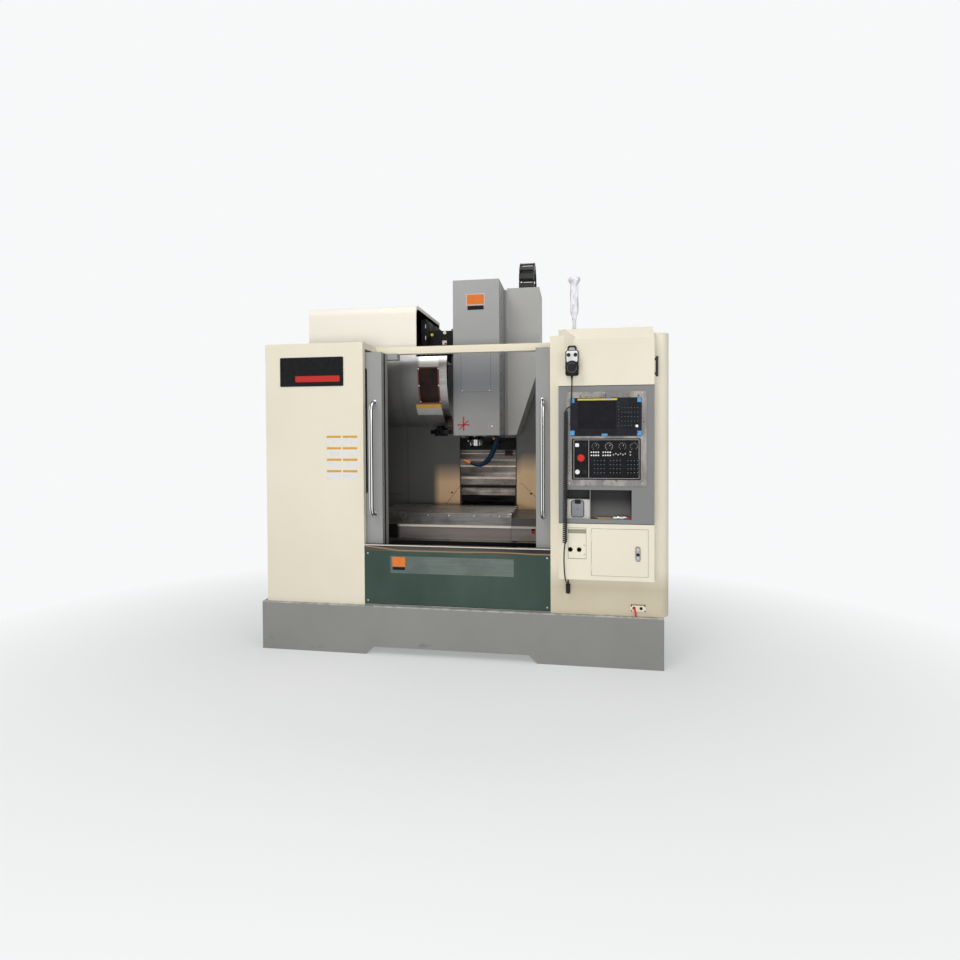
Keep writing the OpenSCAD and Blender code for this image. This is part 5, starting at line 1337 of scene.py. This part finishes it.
def table_details():
    """Screws along the table's front, white painted highlights and black painted shade at the T-slot ends,
    the saddle guard's screws, seam and tag.
    """
    places = [(x, -356.4, 779) for x in (-666, -512, -332, -176, 7, 191, 250)]
    screws("guard_screws", places, "front", "table", 7, 2.6)
    # White blocks on the lit ends of the T-slot ribs: painted highlights.
    slot_highlights = [((256, 275), (-349 + 100 * i, -303 + 100 * i), (784, 797)) for i in range(5)]
    slot_highlight_ink = flat_ink("slot_end_painted_highlight", "cream_paint", (0.98, 0.97, 0.93), 0.4)
    boxes("slot_end_highlights", slot_highlights, slot_highlight_ink, body="table", smooth=0)
    # Black blocks in the T-slot ends: painted shade.
    slot_shades = [((256, 275.2), (-302 + 100 * i, -250 + min(100 * i, 396)), (784, 797)) for i in range(5)]
    boxes("slot_end_shadows", slot_shades, RUBBER, body="table", smooth=0)
    front = -360
    screws("saddle_guard_screws", grid((254, -510), front - 0.2, (613,)), "front", "saddle", 6, 2)
    seam = ((270.6, 273.4), (front - 0.4, front + 0.3), (589, 697))
    boxes("saddle_guard_seam", [seam], RUBBER, body="saddle", smooth=0)
    card("saddle_guard_tag", (418, 442), (661, 680), front - 0.8, 1.0, 1, INK_RED, "saddle", bevel=0)
    card("saddle_guard_tag_top", (418, 442), (681, 697), front - 0.8, 1.0, 1, BLACK, "saddle", bevel=0)


def work_area_details():
    """Dark lines painted along the creases as painted shade, bolts and seams of the rear panels."""
    bm = bmesh.new()
    # Thin dark strips along the diagonal creases: painted shade in the creases.
    for a, b in (((-347, 778), (-227, 930)), ((283, 960), (405, 846))):
        d = Vector((b[0] - a[0], b[1] - a[1])).normalized() * 1.2
        outline_card(bm, [(a[0] + d.y, a[1] - d.x), (b[0] + d.y, b[1] - d.x), (b[0] - d.y, b[1] + d.x),
                          (a[0] - d.y, a[1] + d.x)], 321.2, 0.9)
    box(bm, (-674, -672), (321.2, 322.1), (660, 1935))
    box(bm, (-1215, -702), (321.2, 322.1), (856, 858.5))
    piece("rear_panel_creases", bm, RUBBER, slot="cream_paint", smooth=0)
    places = [(-295, 321.4, 875), (364, 321.4, 873), (700, 321.4, 1300)]
    screws("rear_panel_bolts", places, radius=8, height=4, finish=RUBBER, slot="bright_steel")


def z_cover_details():
    """A rolled lip along the lower edge of the top telescopic cover, black strips along the lower edges of
    the others as painted shadow lines, beads and a dark blank plate on the top one.

    The top lip's bevel is wider than the lip, so it is rounded as far as it goes."""
    for step, (node, body) in enumerate((
        ("z_cover_top", "head"), ("z_cover_upper", "z_cover_upper"),
        ("z_cover_lower", "z_cover_lower"), ("z_cover_fixed", "frame"),
    )):
        low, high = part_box(node)
        x0, x1, z = low.x / MM, high.x / MM, low.z / MM
        y = 320 + 4.4 * step
        bm = bmesh.new()
        # Below the top cover the edge strips are black: painted shadow lines under the covers' edges.
        lift, bevel, finish = (0.2, 0.08, BLACK) if step else (3.2, 44, WARM_LIP)
        outline_card(bm, round_corners((x0 + 1, x1 - 1), (z + 1, z + 13), 4), y - lift, lift + 0.2)
        for above in () if step else (55, 110):
            bead = round_corners((x0 + 4, x1 - 4), (z + above, z + above + 5), 2)
            outline_card(bm, bead, y - 1.0, 1.2)
        piece(node + "_lip", bm, finish, body, "way_cover_steel", bevel=bevel)
    card("way_cover_plate", (152, 216), (1184, 1228), 318.6, 1.6, 2, PLATE_BLACK, "head")
    maroon = flat_ink("maroon_field", "red_plastic", (0.075, 0.010, 0.016), 0.35)
    card("way_cover_field", (155, 213), (1187, 1203), 318.2, 0.7, 1, maroon, "head", bevel=0)


def spindle_details():
    """Nose bolts and drive keys, and the two thin nozzles with bright tips."""
    around = [math.radians(60 * i + 30) for i in range(6)]
    bolt = [(0, 0), (0, 6), (-5, 6), (-5, 0)]
    bolts = [(bolt, (74 * math.cos(t), -200 + 74 * math.sin(t), 1350)) for t in around]
    rods("nose_bolts", bolts, SHAFT, "Z", 12, body="head")
    pipes = []
    for x in (-62, 52):
        bend = [(x, -262, 1352), (x * 0.95, -262, 1330), (x * 0.8, -255, 1312), (x * 0.62, -248, 1302)]
        pipes.append((smooth_line(bend, 5), 5))
    tubes("side_nozzles", pipes, BLACK_PLASTIC, body="head")
    tubes("nozzle_tips", [
        ([(-53, -258, 1320), (-48, -254, 1309)], 6.8), ([(-38, -248, 1303), (-32, -246, 1281)], 4.6),
        ([(35, -251, 1314), (29, -246, 1281)], 5.6),
    ], SHAFT, body="head")
    drive = [((20, 30), (-246, -232), (1269, 1290)), ((-30, -20), (-168, -154), (1269, 1290))]
    boxes("drive_keys", drive, BLACK, body="spindle", slot="bright_steel", bevel=1)


for details in (
    left_panel_plates, apron_plate, head_plates, magazine_marks, hood_details, lamp_film, display_details,
    operator_panel_details, niche_details, console_plates, handset_details, low_socket, cord_gland_sleeve,
    door_trim, coolant_hose, rear_details, table_details, work_area_details, z_cover_details, spindle_details,
):
    details()

# Floor and light

PALE = (0.93, 0.945, 0.95)
SKY_LIGHT = 0.34


def seen_paths(tree):
    """1 for rays that look at the backdrop: straight, off a mirror or through glass."""
    path = add_node(tree, "ShaderNodeLightPath")
    seen = path["Is Camera Ray"]
    for name in ("Is Glossy Ray", "Is Transmission Ray"):
        seen = add_node(tree, "ShaderNodeMath", {0: seen, 1: path[name]}, operation="MAXIMUM")["Value"]
    return seen


def plain_floor():
    """A pale floor that keeps the machine's shadow and fades into the backdrop."""
    f = Finish("plain_floor", (0.80, 0.81, 0.81), 0.7)
    f.relief(f.cloud(3.0, 2.0), 0.02, 0.001)
    centre = {"Vector": f.space, "Location": (0.0, 1.3, 0.0), "Scale": (1.0, 1.25, 1.0)}
    away = f.node("VectorMath", {0: f.node("Mapping", centre)}, "Value", operation="LENGTH")
    far = f.ramp(away, 1.3, 3.6, 0.35)
    glow = f.node("Emission", {"Color": (*PALE, 1.0)})
    fade = {"Fac": f.times(far, seen_paths(f.tree)), 1: f.shader.outputs["BSDF"], 2: glow}
    f.tree.links.new(f.node("MixShader", fade), f.tree.nodes["Material Output"].inputs["Surface"])
    half = 60.0
    corners = [(-half, -half, 0), (half, -half, 0), (half, half, 0), (-half, half, 0)]
    mesh = bpy.data.meshes.new("floor")
    mesh.from_pydata(corners, [], [(0, 1, 2, 3)])
    mesh.materials.append(f.material)
    shown(bpy.data.objects.new("floor", mesh))


def soft_light(name, at, towards, size, watts, mirrored=True):
    data = bpy.data.lights.new(name, "AREA")
    data.shape = "RECTANGLE"
    data.size, data.size_y = size
    data.energy = watts
    lamp = shown(bpy.data.objects.new(name, data))
    lamp.location = at
    lamp.rotation_euler = (Vector(towards) - Vector(at)).to_track_quat("-Z", "Y").to_euler()
    lamp.visible_camera = False
    lamp.visible_glossy = mirrored


def light_studio():
    world = bpy.data.worlds.new("studio")
    bpy.context.scene.world = world
    world.use_nodes = True
    tree = world.node_tree
    sky = tree.nodes["Background"]
    sky.inputs["Color"].default_value = (*PALE, 1.0)
    level = {"Value": seen_paths(tree), "To Min": SKY_LIGHT, "To Max": 1.0}
    tree.links.new(add_node(tree, "ShaderNodeMapRange", level)["Result"], sky.inputs["Strength"])
    soft_light("key_light", (-1.6, -4.8, 5.6), (0.0, -0.6, 1.1), (2.4, 2.4), 101.0)
    soft_light("fill_light", (4.6, -4.4, 3.0), (0.4, -0.8, 1.1), (3.0, 3.0), 47.0)
    soft_light("top_light", (0.0, -0.8, 5.2), (0.0, 0.0, 1.6), (4.0, 3.0), 44.0)
    soft_light("door_light", (0.3, -5.6, 0.95), (0.0, 0.2, 1.05), (2.0, 0.8), 76.0, mirrored=False)
    bpy.context.scene.view_settings.view_transform = "Standard"


plain_floor()
light_studio()
